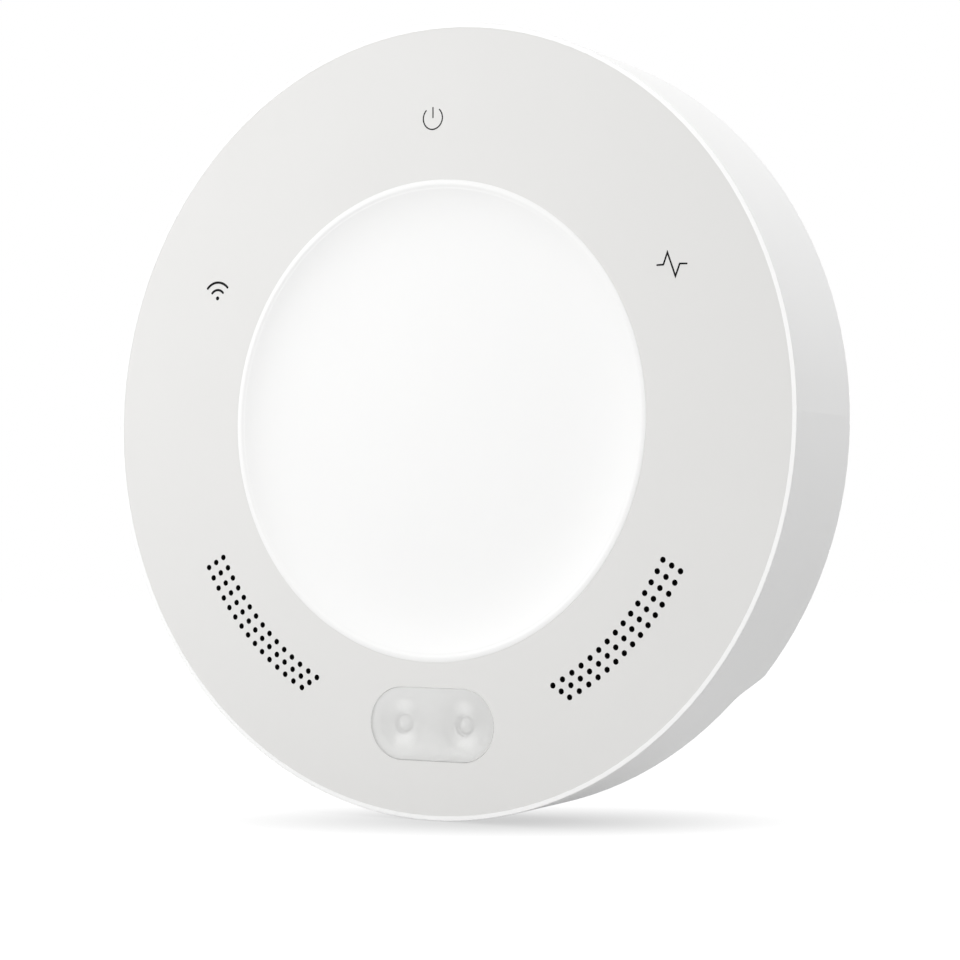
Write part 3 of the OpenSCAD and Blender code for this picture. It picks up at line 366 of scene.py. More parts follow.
disc_r, cup_r, cup_back, seat, front, edge_round = 39.5, 37.0, 19.6, 21, 22.2, 0.06
ring_w, blend_w, blend_steps = 0.65, 0.8, 12
dish_top, dish_sag, dish_power, dish_steps = 22.1, 0.9, 8, 48
dish_r = disc_r - ring_w - blend_w
falls = [1 - (i / dish_steps) ** 2 for i in range(dish_steps + 1)]
dish = [(dish_r * fall, dish_top - dish_sag * (1 - fall ** dish_power)) for fall in falls]
blend = [(dish_r + blend_w * (1 - i / blend_steps),
          dish_top + (front - dish_top) * (1 + math.cos(math.pi * i / blend_steps)) / 2)
         for i in range(blend_steps)]
hook = [(35.7, 19.65), (35.7, 17.94), (37.4, 17.94), (37.8, 18.5), (37.8, 19.14), (36.9, 19.14), (36.9, 19.65)]
hook_sweep = 12
bm = bmesh.new()
turned(bm, [(0, cup_back), (cup_r, cup_back), (cup_r, seat), (disc_r, seat)]
       + arc(disc_r - edge_round, front - edge_round, edge_round, 4) + blend + dish, facets=256)
for middle in (90, 210, 330):
    rings = turned(bm, hook + hook[:1], facets=10, start=middle - hook_sweep / 2, sweep=hook_sweep)
    for end in (0, -1):
        bm.faces.new([ring[end] for ring in rings[:-1]])
disc = as_piece("centre_disc_dished", bm, moulded("glossy white disc", (0.925, 0.925, 0.92), 0.4, relief_mm=0.001))
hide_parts("centre_disc")


# Warning lens: a misty pill shaped cap that shows the reflector close behind it, with a flange.
# Misty polycarbonate, moulded with a polished front and frosted sides, clamped behind the web.
lens_half_run, lens_r, lens_low = 5.9, 6.0, -49.6


def pill_ring(bm, inset, z):
    """One ring of points of a pill outline, drawn in from the lens's own by the inset."""
    ring, n = [], 24
    for side in (1, -1):
        for i in range(n + 1):
            a = math.radians(-90 + 180 * i / n + (0 if side > 0 else 180))
            ring.append(bm.verts.new(into_row(side * lens_half_run + (lens_r - inset) * math.cos(a),
                                              lens_low + (lens_r - inset) * math.sin(a), z)))
    return ring


def lofted(bm, profile, ends=True):
    """Joins pill outlines of given inset and height."""
    rings = [pill_ring(bm, inset, z) for inset, z in profile]
    strung(bm, rings)
    if ends:
        bm.faces.new(rings[0])
        bm.faces.new(rings[-1])
    return rings


hollow = [(0.3, 21.97), (0.14, 21.95), (0.1, 21.9), (0.1, 20.5), (1.2, 20.4), (1.2, 18.2)]
flange = [(-1.1, 18.2), (-1.2, 18.3), (-1.2, 19.1), (-1.1, 19.2), (0, 19.2)]
rim_round, rim_low, polished = 0.04, 22.15, 0.97
bm = bmesh.new()
lofted(bm, hollow + flange + [(rim_round - r, z) for r, z in arc(0, rim_low, rim_round, 4)])
clear = moulded("misty polycarbonate", (0.95, 0.95, 0.94), 0.25, relief_mm=0.0003, drift=0.005, Alpha=0.44)
lens = as_piece("warning_lens_clear", bm, clear)
lens.data.materials.append(moulded("frosted lens side", (0.95, 0.95, 0.94), 0.5, relief_mm=0.001, drift=0.005))
for face in lens.data.polygons:
    if abs(face.normal.y) < polished:
        face.material_index = 1
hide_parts("warning_lens")


# Lens reflector: two turned bowls round the light emitters, in one pill shaped block with a collar.
# Pale satin plastic; the collar presses the lens's flange against the web, and the tool's fine
# turning marks spread the light.
def filled(bm, *loops):
    """Closes a flat region that lies between closed rings of points."""
    edges = []
    for ring in loops:
        for a, b in zip(ring, ring[1:] + ring[:1]):
            edges.append(bm.edges.get((a, b)) or bm.edges.new((a, b)))
    bmesh.ops.triangle_fill(bm, use_beauty=True, edges=edges)


def square_ring(bm, x, y, half, z):
    """The four corners of a square."""
    return [bm.verts.new(into_row(x + u * half, y + v * half, z)) for u, v in ((-1, -1), (1, -1), (1, 1), (-1, 1))]


block_low, block_top, block_in, collar_low, collar_high = 14.4, 21.88, 1.3, 17.0, 18.18
throat_r, ledge_r, ledge, pocket_half, pocket_top = 1.5, 1.9, 20.83, 1.8, 15.3
mouth_r, bowl_floor, bowl_power, bowl_steps = 4.4, 21.28, 0.7, 24
throat_reach, throat_lean = ledge_r + 0.05, 0.6
block = [(1.5, block_low), (block_in, block_low + 0.2), (block_in, collar_low), (-1.1, collar_low), (-1.2, 17.1),
         (-1.2, 18.1), (-1.12, collar_high), (block_in, collar_high), (block_in, 20.55), (0.14, 20.62),
         (0.11, block_top - 0.06), (0.15, block_top)]
bowl = [(throat_r, pocket_top), (throat_r, ledge), (ledge_r - 0.05, ledge), (ledge_r, bowl_floor)]
for i in range(1, bowl_steps):
    bowl.append((ledge_r + (mouth_r - ledge_r) * (i / bowl_steps) ** bowl_power,
                 bowl_floor + (block_top - bowl_floor) * i / bowl_steps))
bowl += [(mouth_r - 0.03, block_top - 0.03), (mouth_r + 0.08, block_top)]
bm = bmesh.new()
sides = lofted(bm, block, ends=False)
mouths, pockets = [], []
for x in (-lens_half_run, lens_half_run):
    rings = turned(bm, bowl, facets=96, middle=(x, lens_low))
    mouths.append(rings[-1])
    square = [square_ring(bm, x, lens_low, pocket_half, z) for z in (block_low, pocket_top)]
    strung(bm, square)
    filled(bm, square[1], rings[0])
    pockets.append(square[0])
filled(bm, sides[-1], *mouths)
filled(bm, sides[0], *pockets)
coat = moulded("satin reflector", (0.88, 0.88, 0.875), 0.35, grain_mm=0.1, relief_mm=0.0006, drift=0.02,
               Metallic=0.3, Anisotropic=0.6)
reflector = as_piece("lens_reflector_bowls", bm, coat)
# Painted shade: the walls of the throats round the lamps take a darker grey for the shade down in them.
reflector.data.materials.append(moulded("painted throat shade", (0.42, 0.42, 0.42), 0.5, grain_mm=0.1, relief_mm=0.002))
for face in reflector.data.polygons:
    out = math.hypot(abs(face.center.x) * 1000 - lens_half_run, face.center.z * 1000 - lens_low)
    if abs(face.normal.y) < throat_lean and out < throat_reach:
        face.material_index = 1
# The turning marks run round each bowl, along a map of turn and height.
map_height = 20
turning = reflector.data.uv_layers.new(name="turning")
for face in reflector.data.polygons:
    x0 = math.copysign(lens_half_run, face.center.x) / 1000
    aim = math.atan2(face.center.z - lens_low / 1000, face.center.x - x0)
    for loop in face.loop_indices:
        v = reflector.data.vertices[reflector.data.loops[loop].vertex_index].co
        turn = math.atan2(v.z - lens_low / 1000, v.x - x0) - aim
        turn = (turn + math.pi) % (2 * math.pi) - math.pi
        turning.data[loop].uv = ((aim + turn) / 2 / math.pi, -v.y * map_height)
tree = coat.node_tree
marks_run = step("ShaderNodeTangent", tree, {"direction_type": "UV_MAP", "uv_map": "turning"})
tree.links.new(marks_run.outputs["Tangent"], tree.nodes["Principled BSDF"].inputs["Tangent"])
# Painted highlight: inside each bowl the colour is lightened in an upright fan above and below its lamp. Painted
# shade: elsewhere the colour is darker above each bowl's middle than below it.
fan_low, fan_high, fan_power, fan_highlight_tone, tone_below, tone_above = 0.4321, 0.4361, 6, 1.13, 0.92, 0.56
spun = step("ShaderNodeUVMap", tree, {"uv_map": "turning"})
spun = step("ShaderNodeSeparateXYZ", tree, Vector=spun.outputs["UV"]).outputs
rise = maths(tree, "SINE", maths(tree, "MULTIPLY", spun["X"], 2 * math.pi))
within = step("ShaderNodeMapRange", tree, Value=spun["Y"], From_Min=fan_low, From_Max=fan_high,
              To_Min=1.0, To_Max=0.0)
painted_fan_highlight = maths(tree, "MULTIPLY", maths(tree, "POWER", maths(tree, "ABSOLUTE", rise), fan_power),
               within.outputs["Result"])
painted_shade_gradient = step("ShaderNodeMapRange", tree, Value=rise, From_Min=-1.0, To_Min=tone_below, To_Max=tone_above)
level = step("ShaderNodeMapRange", tree, Value=painted_fan_highlight, To_Min=painted_shade_gradient.outputs["Result"], To_Max=fan_highlight_tone)
base = tree.nodes["Principled BSDF"].inputs["Base Color"]
tone = step("ShaderNodeVectorMath", tree, {"operation": "SCALE"}, Vector=base.links[0].from_socket,
            Scale=level.outputs["Result"])
tree.links.new(tone.outputs["Vector"], base)
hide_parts("lens_reflector")


# Light emitters: two lamps on the small board, each a white base with a bullet shaped body.
# Cast milky resin round a bright lead frame, whose cup holds the chip.
emitter_half, emitter_low, emitter_base, emitter_r, emitter_tip = 1.7, 14.4, 0.8, 1.35, 21.65
base_edge, cup_off, post_off = 0.08, -0.2, 0.72
top = emitter_low + emitter_base
body_top = emitter_tip - emitter_r
block = [(emitter_half, emitter_low), (emitter_half, top - base_edge), (emitter_half - base_edge, top)]
bullet = ([(0, top + 0.005), (emitter_r - 0.04, top + 0.005), (emitter_r, top + 0.045)]
          + arc(0, body_top, emitter_r, 16, 88) + [(0, emitter_tip)])
cup = [(0, top + 0.3), (0.22, top + 0.3), (0.22, body_top - 1.1), (0.62, body_top - 0.75), (0.62, body_top - 0.3),
       (0.54, body_top - 0.3), (0.3, body_top - 0.62), (0, body_top - 0.62)]
post = [(0, top + 0.3), (0.18, top + 0.3), (0.18, body_top - 0.35), (0, body_top - 0.3)]
ceramic = moulded("white lamp base", (0.8, 0.79, 0.76), 0.45, grain_mm=0.06, relief_mm=0.002)
resin = moulded("milky lamp resin", (0.96, 0.96, 0.955), 0.12, grain_mm=0.2, relief_mm=0.0006, drift=0.01,
                IOR=1.5)
lead = moulded("bright lead frame", (0.8, 0.8, 0.79), 0.25, grain_mm=0.05, relief_mm=0.001, Metallic=1.0)
bases, bullets, leads = bmesh.new(), bmesh.new(), bmesh.new()
for x in (-lens_half_run, lens_half_run):
    stack = [square_ring(bases, x, lens_low, half, z) for half, z in block]
    strung(bases, stack)
    for end in (0, -1):
        bases.faces.new(stack[end])
    turned(bullets, bullet, facets=56, middle=(x, lens_low))
    turned(leads, cup, facets=32, middle=(x + cup_off, lens_low))
    turned(leads, post, facets=20, middle=(x + post_off, lens_low))
as_piece("emitter_bases", bases, ceramic)
as_piece("emitter_lead_frames", leads, lead)
emitters = as_piece("emitter_bullets", bullets, resin)
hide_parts("warning_leds")


# Grille meshes: a dark woven mesh behind each field of sound holes, held against the plate.
# Black polyester yarn with gaps between the threads.
def waves(tree, scale, axis):
    """Even lines across one axis."""
    place = step("ShaderNodeTexCoord", tree).outputs["Object"]
    return step("ShaderNodeTexWave", tree, {"bands_direction": axis}, Vector=place, Scale=scale).outputs["Fac"]


def wave_scale(pitch_mm):
    """The scale at which the lines lie a pitch apart."""
    return 1000 / pitch_mm / 20 * math.pi


def woven(name, colour, pitch_mm):
    """Cloth of threads that cross, as relief."""
    mat = moulded(name, colour, 0.7, grain_mm=0.1, relief_mm=pitch_mm / 4, drift=0.2, Specular_IOR_Level=0.2)
    tree = mat.node_tree
    threads = [waves(tree, wave_scale(pitch_mm), axis) for axis in "XZ"]
    tree.links.new(maths(tree, "MAXIMUM", *threads), tree.nodes["Bump"].inputs["Height"])
    return mat


dress(woven("black woven mesh", (0.012, 0.012, 0.013), 0.3), "grille_mesh_left", "grille_mesh_right")


# Icon light guides: three frosted rods that carry light from the main board to the plate's pockets.
# Turned from acrylic rod; a collar keeps each one in the web.
dress(moulded("frosted acrylic", (0.93, 0.94, 0.94), 0.28, grain_mm=0.1, relief_mm=0.004, drift=0.01,
              Transmission_Weight=0.6, IOR=1.49), "icon_light_guides")


# Lamp board: the small board behind the reflector, held by two screws, with a ribbon to the main board.
# Glass epoxy under a green mask, copper tracks below it; the ribbon is white film over flat conductors.
def overlaid(tree, factor, colour):
    """Lays a second colour over a finish, and raises it, where the factor is high."""
    base = tree.nodes["Principled BSDF"].inputs["Base Color"]
    tint = step("ShaderNodeMix", tree, {"data_type": "RGBA"}, Factor=factor, A=base.links[0].from_socket,
                B=(*colour, 1))
    tree.links.new(tint.outputs["Result"], base)
    tree.links.new(factor, tree.nodes["Bump"].inputs["Height"])


def board(name, mask, lit):
    """A circuit board: tracks run both ways in patches, as faint ridges under a glossy mask."""
    patch_scale, upright_from, level_to, track_scale, track_edge = 300.0, 0.52, 0.44, 380.0, 0.66
    mat = moulded(name, mask, 0.32, grain_mm=0.12, relief_mm=0.012, drift=0.05)
    tree = mat.node_tree
    place = step("ShaderNodeTexCoord", tree).outputs["Object"]
    patch = step("ShaderNodeTexNoise", tree, Vector=place, Scale=patch_scale, Detail=0.0).outputs["Fac"]
    upright = maths(tree, "MULTIPLY", waves(tree, track_scale, "X"),
                    maths(tree, "GREATER_THAN", patch, upright_from))
    level = maths(tree, "MULTIPLY", waves(tree, track_scale, "Z"), maths(tree, "LESS_THAN", patch, level_to))
    overlaid(tree, maths(tree, "GREATER_THAN", maths(tree, "ADD", upright, level), track_edge), lit)
    return mat


def striped(name, colour, line, pitch_mm, axis, roughness=0.4, **sockets):
    """Film or wire in even lines along one axis: the lines stand out in tone and relief."""
    mat = moulded(name, colour, roughness, grain_mm=0.1, relief_mm=pitch_mm * 60, drift=0.04, **sockets)
    overlaid(mat.node_tree, waves(mat.node_tree, wave_scale(pitch_mm), axis), line)
    return mat


def pan_screw(head_r, head_h, shank_r, shank_l, pitch=0.55, facets=40):
    """A screw that stands at the origin: domed head with a cross recess behind, rolled thread in front."""
    bm = bmesh.new()
    flat_r, core_r, tip, edge_round, dome = head_r * 0.72, shank_r - 0.2, 0.7, 0.06, 0.45
    thread = ((core_r, 0.3), (shank_r, 0.44), (shank_r, 0.54), (core_r, 0.7))
    profile = [(flat_r, -head_h)]
    profile += [(flat_r + (head_r - flat_r) * math.sin(a), -head_h + head_h * dome * (1 - math.cos(a)))
                for a in (math.pi / 2 * i / 6 for i in range(1, 7))]
    profile += [(head_r, -edge_round), (head_r - edge_round, 0), (core_r, 0)]
    for i in range(int((shank_l - tip) / pitch)):
        profile += [(r, z + i * pitch) for r, z in thread]
    profile += [(core_r, shank_l - tip), (core_r * 0.45, shank_l), (0, shank_l)]
    profile = [(r, z) for i, (r, z) in enumerate(profile) if i == 0 or z >= profile[i - 1][1] - 1e-9]
    rings = turned(bm, profile, facets)
    recess = []
    for long, wide, z in ((0.62, 0.13, -head_h), (0.42, 0.09, -head_h * 0.35)):
        arm, half = head_r * long, head_r * wide
        cross = [(arm, -half), (arm, half), (half, half), (half, arm), (-half, arm), (-half, half),
                 (-arm, half), (-arm, -half), (-half, -half), (-half, -arm), (half, -arm), (half, -half)]
        recess.append([bm.verts.new(into_row(x, y, z)) for x, y in cross])
    strung(bm, recess)
    filled(bm, recess[1])
    filled(bm, rings[0], recess[0])
    return bm


def set_out(name, bm, places, material, body="casing"):
    """Repeats one finished shape at named places with a Geometry Nodes tree, as one piece."""
    sizes = {"Place %d" % (i + 1): into_row(*place) for i, place in enumerate(places)}
    tree, given = planted(name, sizes, shaped=True)
    spots = [step("GeometryNodePoints", tree, Count=1, Position=given[label]).outputs[0] for label in sizes]
    put = step("GeometryNodeInstanceOnPoints", tree, Points=joined(tree, spots), Instance=given["Shape"])
    ended(tree, put.outputs["Instances"], material)
    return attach(smooth(grown(name, tree, sizes, as_mesh(name, bm))), body)


green_board = board("green circuit board", (0.012, 0.085, 0.035), (0.025, 0.135, 0.055))
zinc = moulded("zinc plated steel", (0.62, 0.63, 0.64), 0.33, grain_mm=0.08, relief_mm=0.002, drift=0.06,
               Metallic=1.0)
small_screw, small_pitch, lamp_screw_l = (1.7, 1.2, 0.8), 0.42, 3.8
lamp_post_x, lamp_board_back = 15.5, 13.2
dress(green_board, "led_board")
lamp_screws = set_out("lamp_board_screws", pan_screw(*small_screw, lamp_screw_l, small_pitch),
                      [(side * lamp_post_x, lens_low, lamp_board_back) for side in (-1, 1)], zinc)
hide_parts("led_board_screws")
dress(striped("white flat lead", (0.8, 0.8, 0.78), (0.55, 0.56, 0.57), 1.0, "X"), "led_ribbon")


# Sounders: two oval speakers behind the grille meshes, each on a foam gasket and screwed to two posts.
# Black frames, nickel plated magnets, pressed paper cones glued in soft rubber surrounds.
foam = moulded("black sealing foam", (0.03, 0.03, 0.032), 0.95, grain_mm=0.3, relief_mm=0.06, drift=0.3)
black_nylon = moulded("black glass filled nylon", (0.022, 0.022, 0.024), 0.55, grain_mm=0.2, relief_mm=0.008,
                      drift=0.15)
nickel = moulded("nickel plate", (0.7, 0.69, 0.66), 0.22, grain_mm=0.3, relief_mm=0.001, drift=0.04, Metallic=1.0)
pressed_paper = moulded("pressed paper cone", (0.045, 0.044, 0.042), 0.85, grain_mm=0.18, relief_mm=0.03,
                        drift=0.35)
soft_rubber = moulded("soft rubber surround", (0.018, 0.018, 0.019), 0.7, grain_mm=0.15, relief_mm=0.004,
                      drift=0.15)
for side in ("left", "right"):
    dress(foam, side + "_speaker_gasket")
    dress(black_nylon, side + "_speaker_frame")
    dress(nickel, side + "_speaker_magnet")
    dress(pressed_paper, side + "_speaker_cone")
    dress(soft_rubber, side + "_speaker_surround")
gold = moulded("gold plated spring", (0.9, 0.68, 0.33), 0.25, grain_mm=0.1, relief_mm=0.001, drift=0.05,
               Metallic=1.0)
dress(gold, "speaker_contacts")
ear_reach, speaker_back, ear_screw_l = 17.8, 13.4, 4.2
lean, rise = math.cos(field_angle), math.sin(field_angle)
ears = [(side * (hole_circle * lean + end * ear_reach * rise), -hole_circle * rise + end * ear_reach * lean,
         speaker_back) for side in (-1, 1) for end in (-1, 1)]
ear_screws = set_out("sounder_screws", pan_screw(*small_screw, ear_screw_l, small_pitch), ears, zinc)
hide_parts("speaker_screws")


# Main board: the round board with its straight lower edge, on four posts, with chips and status lamps.
# Green mask over glass epoxy; chips moulded in black epoxy, with bent tinned legs soldered on the board.
board_front, board_back, post_places = 11.2, 9.6, ((48.4, 51.7), (45.6, -15.3))
board_screw = (2.2, 1.5, 1.15, 6.6)
dress(green_board, "main_board")
dress(moulded("black chip epoxy", (0.02, 0.02, 0.021), 0.5, grain_mm=0.06, relief_mm=0.004, drift=0.2),
      "board_chips")
dress(ceramic, "status_leds")
posts = [(side * r * math.cos(math.radians(a)), r * math.sin(math.radians(a)), board_back)
         for r, a in post_places for side in (-1, 1)]
board_screws = set_out("main_board_holders", pan_screw(*board_screw), posts, zinc)
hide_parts("main_board_screws")

chips = [((-18, 4), (12, 12), 16), ((-2, 6), (8, 6), 8), ((-22, -12), (5, 4), 4), ((10, -18), (6, 5), 4),
         ((24, -20), (7, 7), 2)]
leg_w, leg_t, leg_reach, leg_rise, leg_foot, row_margin = 0.3, 0.14, 0.9, 0.45, 0.01, 0.8
leg_sizes, leg_rows = {}, []
for i, ((x, y), (wide, tall), count) in enumerate(chips):
    pitch = (tall - row_margin) / max(count - 1, 1)
    for side in (-1, 1):
        row = "Chip %d %s" % (i + 1, "left" if side < 0 else "right")
        leg_rows.append(row)
        leg_sizes[row + " start"] = into_row(x + side * wide / 2, y - pitch * (count - 1) / 2, board_front)
        leg_sizes[row + " legs"] = count
        leg_sizes[row + " pitch"] = Vector((0, 0, pitch / 1000))
        leg_sizes[row + " turn"] = Vector((0, 0 if side > 0 else math.pi, 0))
tree, given = planted("chip legs", leg_sizes, shaped=True)
rows = []
for row in leg_rows:
    line = step("GeometryNodeMeshLine", tree, Count=given[row + " legs"], Start_Location=given[row + " start"],
                Offset=given[row + " pitch"])
    legs = step("GeometryNodeInstanceOnPoints", tree, Points=line.outputs["Mesh"], Instance=given["Shape"],
                Rotation=given[row + " turn"])
    rows.append(legs.outputs["Instances"])
ended(tree, joined(tree, rows), moulded("tinned legs", (0.75, 0.75, 0.74), 0.3, grain_mm=0.05, relief_mm=0.002,
                                        drift=0.06, Metallic=1.0))
bm = bmesh.new()
bend = [(0, leg_rise), (0.32, leg_rise), (0.5, leg_foot), (leg_reach, leg_foot), (leg_reach, leg_foot + leg_t),
        (0.58, leg_foot + leg_t), (0.4, leg_rise + leg_t), (0, leg_rise + leg_t)]
flat = [[bm.verts.new(into_row(x, y, z)) for x, z in bend] for y in (-leg_w / 2, leg_w / 2)]
strung(bm, flat)
for end in flat:
    bm.faces.new(end)
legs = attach(smooth(grown("chip_legs", tree, leg_sizes, as_mesh("leg", bm))), "casing")


# Capacitors: three upright cans on the main board that carry the relay over a dip in the supply.
# Drawn aluminium, crimped near the foot, with a plain top.
can_r, can_h, can_round, crimp, top_sink = 3.1, 5.8, 0.3, 0.34, 0.06
can_places = ((18, -5), (26, -5), (22, 4))
bm = bmesh.new()
turned(bm, [(0, 0), (can_r - 0.25, 0), (can_r - 0.1, 0.12), (can_r - 0.1, 0.7), (can_r - crimp, 0.95),
            (can_r - crimp, 1.15), (can_r, 1.4)]
       + arc(can_r - can_round, can_h - can_round, can_round, 5)
       + [(can_r - 0.55, can_h), (can_r - 0.62, can_h - top_sink), (0, can_h - top_sink)], facets=48)
drawn_can = moulded("drawn aluminium can", (0.78, 0.79, 0.8), 0.28, grain_mm=0.12, relief_mm=0.001, drift=0.04,
                    Metallic=1.0)
cans = set_out("capacitor_cans", bm, [(x, y, board_front) for x, y in can_places], drawn_can)
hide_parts("capacitors")


# Radio module: a blue board soldered on the main board, under a pressed shield.
# The shield is tinned steel sheet with a dull brushed face.
dress(board("blue radio board", (0.012, 0.03, 0.12), (0.03, 0.07, 0.24)), "wifi_module")
dress(moulded("tinned shield", (0.66, 0.67, 0.68), 0.38, grain_mm=0.25, relief_mm=0.003, drift=0.05,
              Metallic=1.0), "wifi_shield")


# Relay: base, coil on its yoke, tilting armature, contact blade and a cap, on the back of the main board.
# Blue moulded base and cap, enamelled copper wire, soft iron, and a gilt contact.
blue_case = moulded("blue relay case", (0.06, 0.14, 0.42), 0.35, grain_mm=0.25, relief_mm=0.003, drift=0.06)
dress(blue_case, "relay_base", "relay_cover")
dress(striped("copper winding", (0.62, 0.24, 0.1), (0.78, 0.36, 0.17), 0.25, "X", 0.3, Metallic=1.0), "relay_coil")
soft_iron = moulded("soft iron", (0.5, 0.5, 0.5), 0.42, grain_mm=0.15, relief_mm=0.003, drift=0.1, Metallic=1.0)
dress(soft_iron, "relay_yoke", "relay_armature")
dress(gold, "relay_contact")


# Door terminal: the grey block in the well with its spring clamps and two orange release tabs.
# Moulded polyamide; the clamps are bent from spring steel, and the ribbed tabs slide in the block.
dress(moulded("grey terminal polyamide", (0.33, 0.34, 0.35), 0.5, grain_mm=0.2, relief_mm=0.006, drift=0.06),
      "terminal_block")
spring = moulded("spring steel", (0.6, 0.6, 0.59), 0.28, grain_mm=0.1, relief_mm=0.001, drift=0.05, Metallic=1.0)
dress(spring, "terminal_clamps")
orange = moulded("orange tab polyamide", (0.82, 0.26, 0.03), 0.42, grain_mm=0.2, relief_mm=0.004, drift=0.05)
dress(orange, "release_tab_left", "release_tab_right")
tab_end, tab_heights, rib_size, rib_round = -37.2, (6.8, 7.5, 8.2), (2.7, 0.34, 0.36), 0.1
tab_places = {"left_tab": -17.5, "right_tab": -12.5}
for body, x in tab_places.items():
    bm = bmesh.new()
    bmesh.ops.create_cube(bm, size=0.001, matrix=Matrix.Diagonal((*rib_size, 1)))
    bmesh.ops.bevel(bm, geom=bm.edges[:], offset=rib_round / 1000, segments=2, affect="EDGES")
    ribs = set_out(body + "_ribs", bm, [(x, tab_end, height) for height in tab_heights], orange, body)


# Power socket and reset: a folded steel shell round a black tongue, and a button that works a small switch.
# The shell is soldered on the main board; the button, with a dished crown, is guided in the well's wall.
dress(spring, "power_socket")
dress(black_nylon, "power_tongue", "reset_switch")
button_grey = moulded("grey button", (0.42, 0.42, 0.42), 0.45, grain_mm=0.2, relief_mm=0.004)
dress(button_grey, "reset_button")
button_x, button_end, button_out, button_facets = 1.0, -36.4, 7.2, 40
crown = [(1.4, -0.05), (1.4, 0.06), (1.37, 0.14), (1.29, 0.2), (1.18, 0.22), (0.95, 0.21), (0.65, 0.17),
         (0.3, 0.14), (0.1, 0.13)]
turns = [2 * math.pi * i / button_facets for i in range(button_facets)]
bm = bmesh.new()
rings = [[bm.verts.new(into_row(button_x + r * math.cos(a), button_end - rise, button_out + r * math.sin(a)))
          for a in turns] for r, rise in crown]
strung(bm, rings)
for end in (0, -1):
    bm.faces.new(rings[end])
as_piece("reset_button_crown", bm, button_grey, "reset_key")


# Rear cover: the flat white back with the connector well, keyholes and vents, held by four screws.
# Moulded plastic with a fine spark eroded grain; the screws are sunk in it.
dress(moulded("grained white back", (0.9, 0.9, 0.895), 0.5, grain_mm=0.5, relief_mm=0.012), "rear_cover")
case_circle, case_bearing, case_angles = 57.6, 2.5, (-5, 45, 135, 185)
case_screw = (2.6, 1.9, 1.25, 7.7, 0.65)
corners = [(case_circle * math.cos(math.radians(a)), case_circle * math.sin(math.radians(a)), case_bearing)
           for a in case_angles]
case_screws = set_out("rear_screws", pan_screw(*case_screw), corners, zinc)
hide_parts("rear_cover_screws")


# Studio: a pale floor that the unit stands on, with a painted shadow under it, soft lights from the left, from above
# and from behind.
# The camera stands to the right of the unit, a little below its middle.
def in_sight(tree):
    """One where the camera sees a thing, straight or by gloss and glass, and zero for the light that it sheds."""
    ray = step("ShaderNodeLightPath", tree).outputs
    seen = maths(tree, "ADD", maths(tree, "ADD", ray["Is Camera Ray"], ray["Is Glossy Ray"]),
                 ray["Is Transmission Ray"])
    seen.node.use_clamp = True
    return seen


floor_z, floor_r = -0.06522, 1.5
paper_lit, paper_seen = (0.5, 0.5, 0.5, 1), (0.1, 0.1, 0.1, 1)
painted_shadow_at, painted_shadow_turn, painted_shadow_size, painted_shadow_tone = (0.0105, -0.0158, floor_z), 31.4, (0.064, 0.033, 1), 0.6
bm = bmesh.new()
bmesh.ops.create_circle(bm, cap_ends=True, radius=floor_r, segments=96, matrix=Matrix.Translation((0, 0, floor_z)))
ground = bpy.data.objects.new("floor", bpy.data.meshes.new("floor"))
bm.to_mesh(ground.data)
bm.free()
bpy.context.scene.collection.objects.link(ground)
mat = bpy.data.materials.new("pale floor")
mat.use_nodes = True
tree = mat.node_tree
tree.nodes.clear()
place = step("ShaderNodeTexCoord", tree).outputs["Object"]
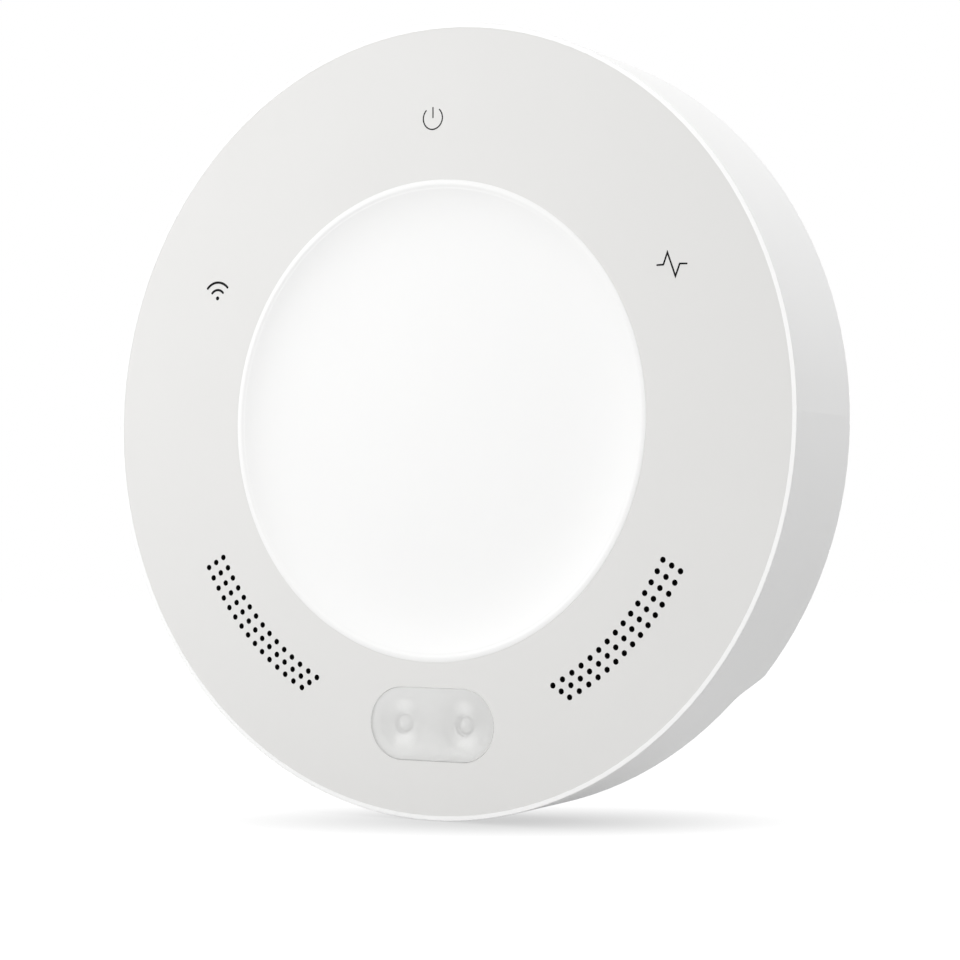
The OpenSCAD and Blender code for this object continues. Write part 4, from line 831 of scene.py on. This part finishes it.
# Painted shadow: the floor's glow is dimmed in a soft ellipse under the unit, down to the shadow tone at its middle.
painted_shadow_spot = step("ShaderNodeMapping", tree, {"vector_type": "TEXTURE"}, Vector=place, Location=painted_shadow_at,
            Rotation=(0, 0, math.radians(painted_shadow_turn)), Scale=painted_shadow_size)
away = step("ShaderNodeVectorMath", tree, {"operation": "LENGTH"}, Vector=painted_shadow_spot.outputs["Vector"])
painted_shadow_fade = step("ShaderNodeMapRange", tree, {"interpolation_type": "SMOOTHSTEP"}, Value=away.outputs["Value"],
            To_Min=painted_shadow_tone)
seen = in_sight(tree)
glow = step("ShaderNodeEmission", tree, Strength=maths(tree, "MULTIPLY", seen, painted_shadow_fade.outputs["Result"]))
tint = step("ShaderNodeMix", tree, {"data_type": "RGBA"}, Factor=seen, A=paper_lit, B=paper_seen)
paper = step("ShaderNodeBsdfDiffuse", tree, Color=tint.outputs["Result"])
both = step("ShaderNodeAddShader", tree)
tree.links.new(paper.outputs[0], both.inputs[0])
tree.links.new(glow.outputs[0], both.inputs[1])
tree.links.new(both.outputs[0], tree.nodes.new("ShaderNodeOutputMaterial").inputs["Surface"])
ground.data.materials.append(mat)

around = 0.6
world = bpy.data.worlds.new("white surround")
bpy.context.scene.world = world
world.use_nodes = True
tree = world.node_tree
sky = tree.nodes["Background"].inputs
sky["Color"].default_value = (1, 1, 1, 1)
tree.links.new(maths(tree, "MULTIPLY_ADD", in_sight(tree), 1 - around, around), sky["Strength"])


def lamp(name, place, size, watts):
    """A round soft light that looks at the middle of the unit."""
    light = bpy.data.lights.new(name, "AREA")
    light.shape = "DISK"
    light.size = size
    light.energy = watts
    shown = bpy.data.objects.new(name, light)
    aim = (-Vector(place)).to_track_quat("-Z", "Y").to_matrix().to_4x4()
    shown.matrix_world = Matrix.Translation(place) @ aim
    bpy.context.scene.collection.objects.link(shown)


lamp("left", (-0.7, -0.85, 0.18), 0.7, 6.3)
lamp("above", (0.36, -0.08, 0.82), 1.0, 3.4)
lamp("behind", (-0.22, 1.05, 0.1), 0.4, 1.9)

camera = bpy.data.objects.new("camera", bpy.data.cameras.new("camera"))
bpy.context.scene.collection.objects.link(camera)
bpy.context.scene.camera = camera
camera.data.sensor_width = 36
camera.data.lens = 98.24
camera.data.shift_x, camera.data.shift_y = -0.0018, -0.0305
camera.data.clip_start, camera.data.clip_end = 0.01, 20
camera_place, camera_up = (0.22976, -0.38357, -0.01964), Vector((0.01685, -0.02991, 0.99941))
ahead = Vector((-0.52007, 0.85343, 0.03431)).normalized()
right = ahead.cross(camera_up).normalized()
facing = Matrix((right, right.cross(ahead), -ahead)).transposed().to_4x4()
camera.matrix_world = Matrix.Translation(camera_place) @ facing

bpy.context.scene.view_settings.view_transform = "Standard"
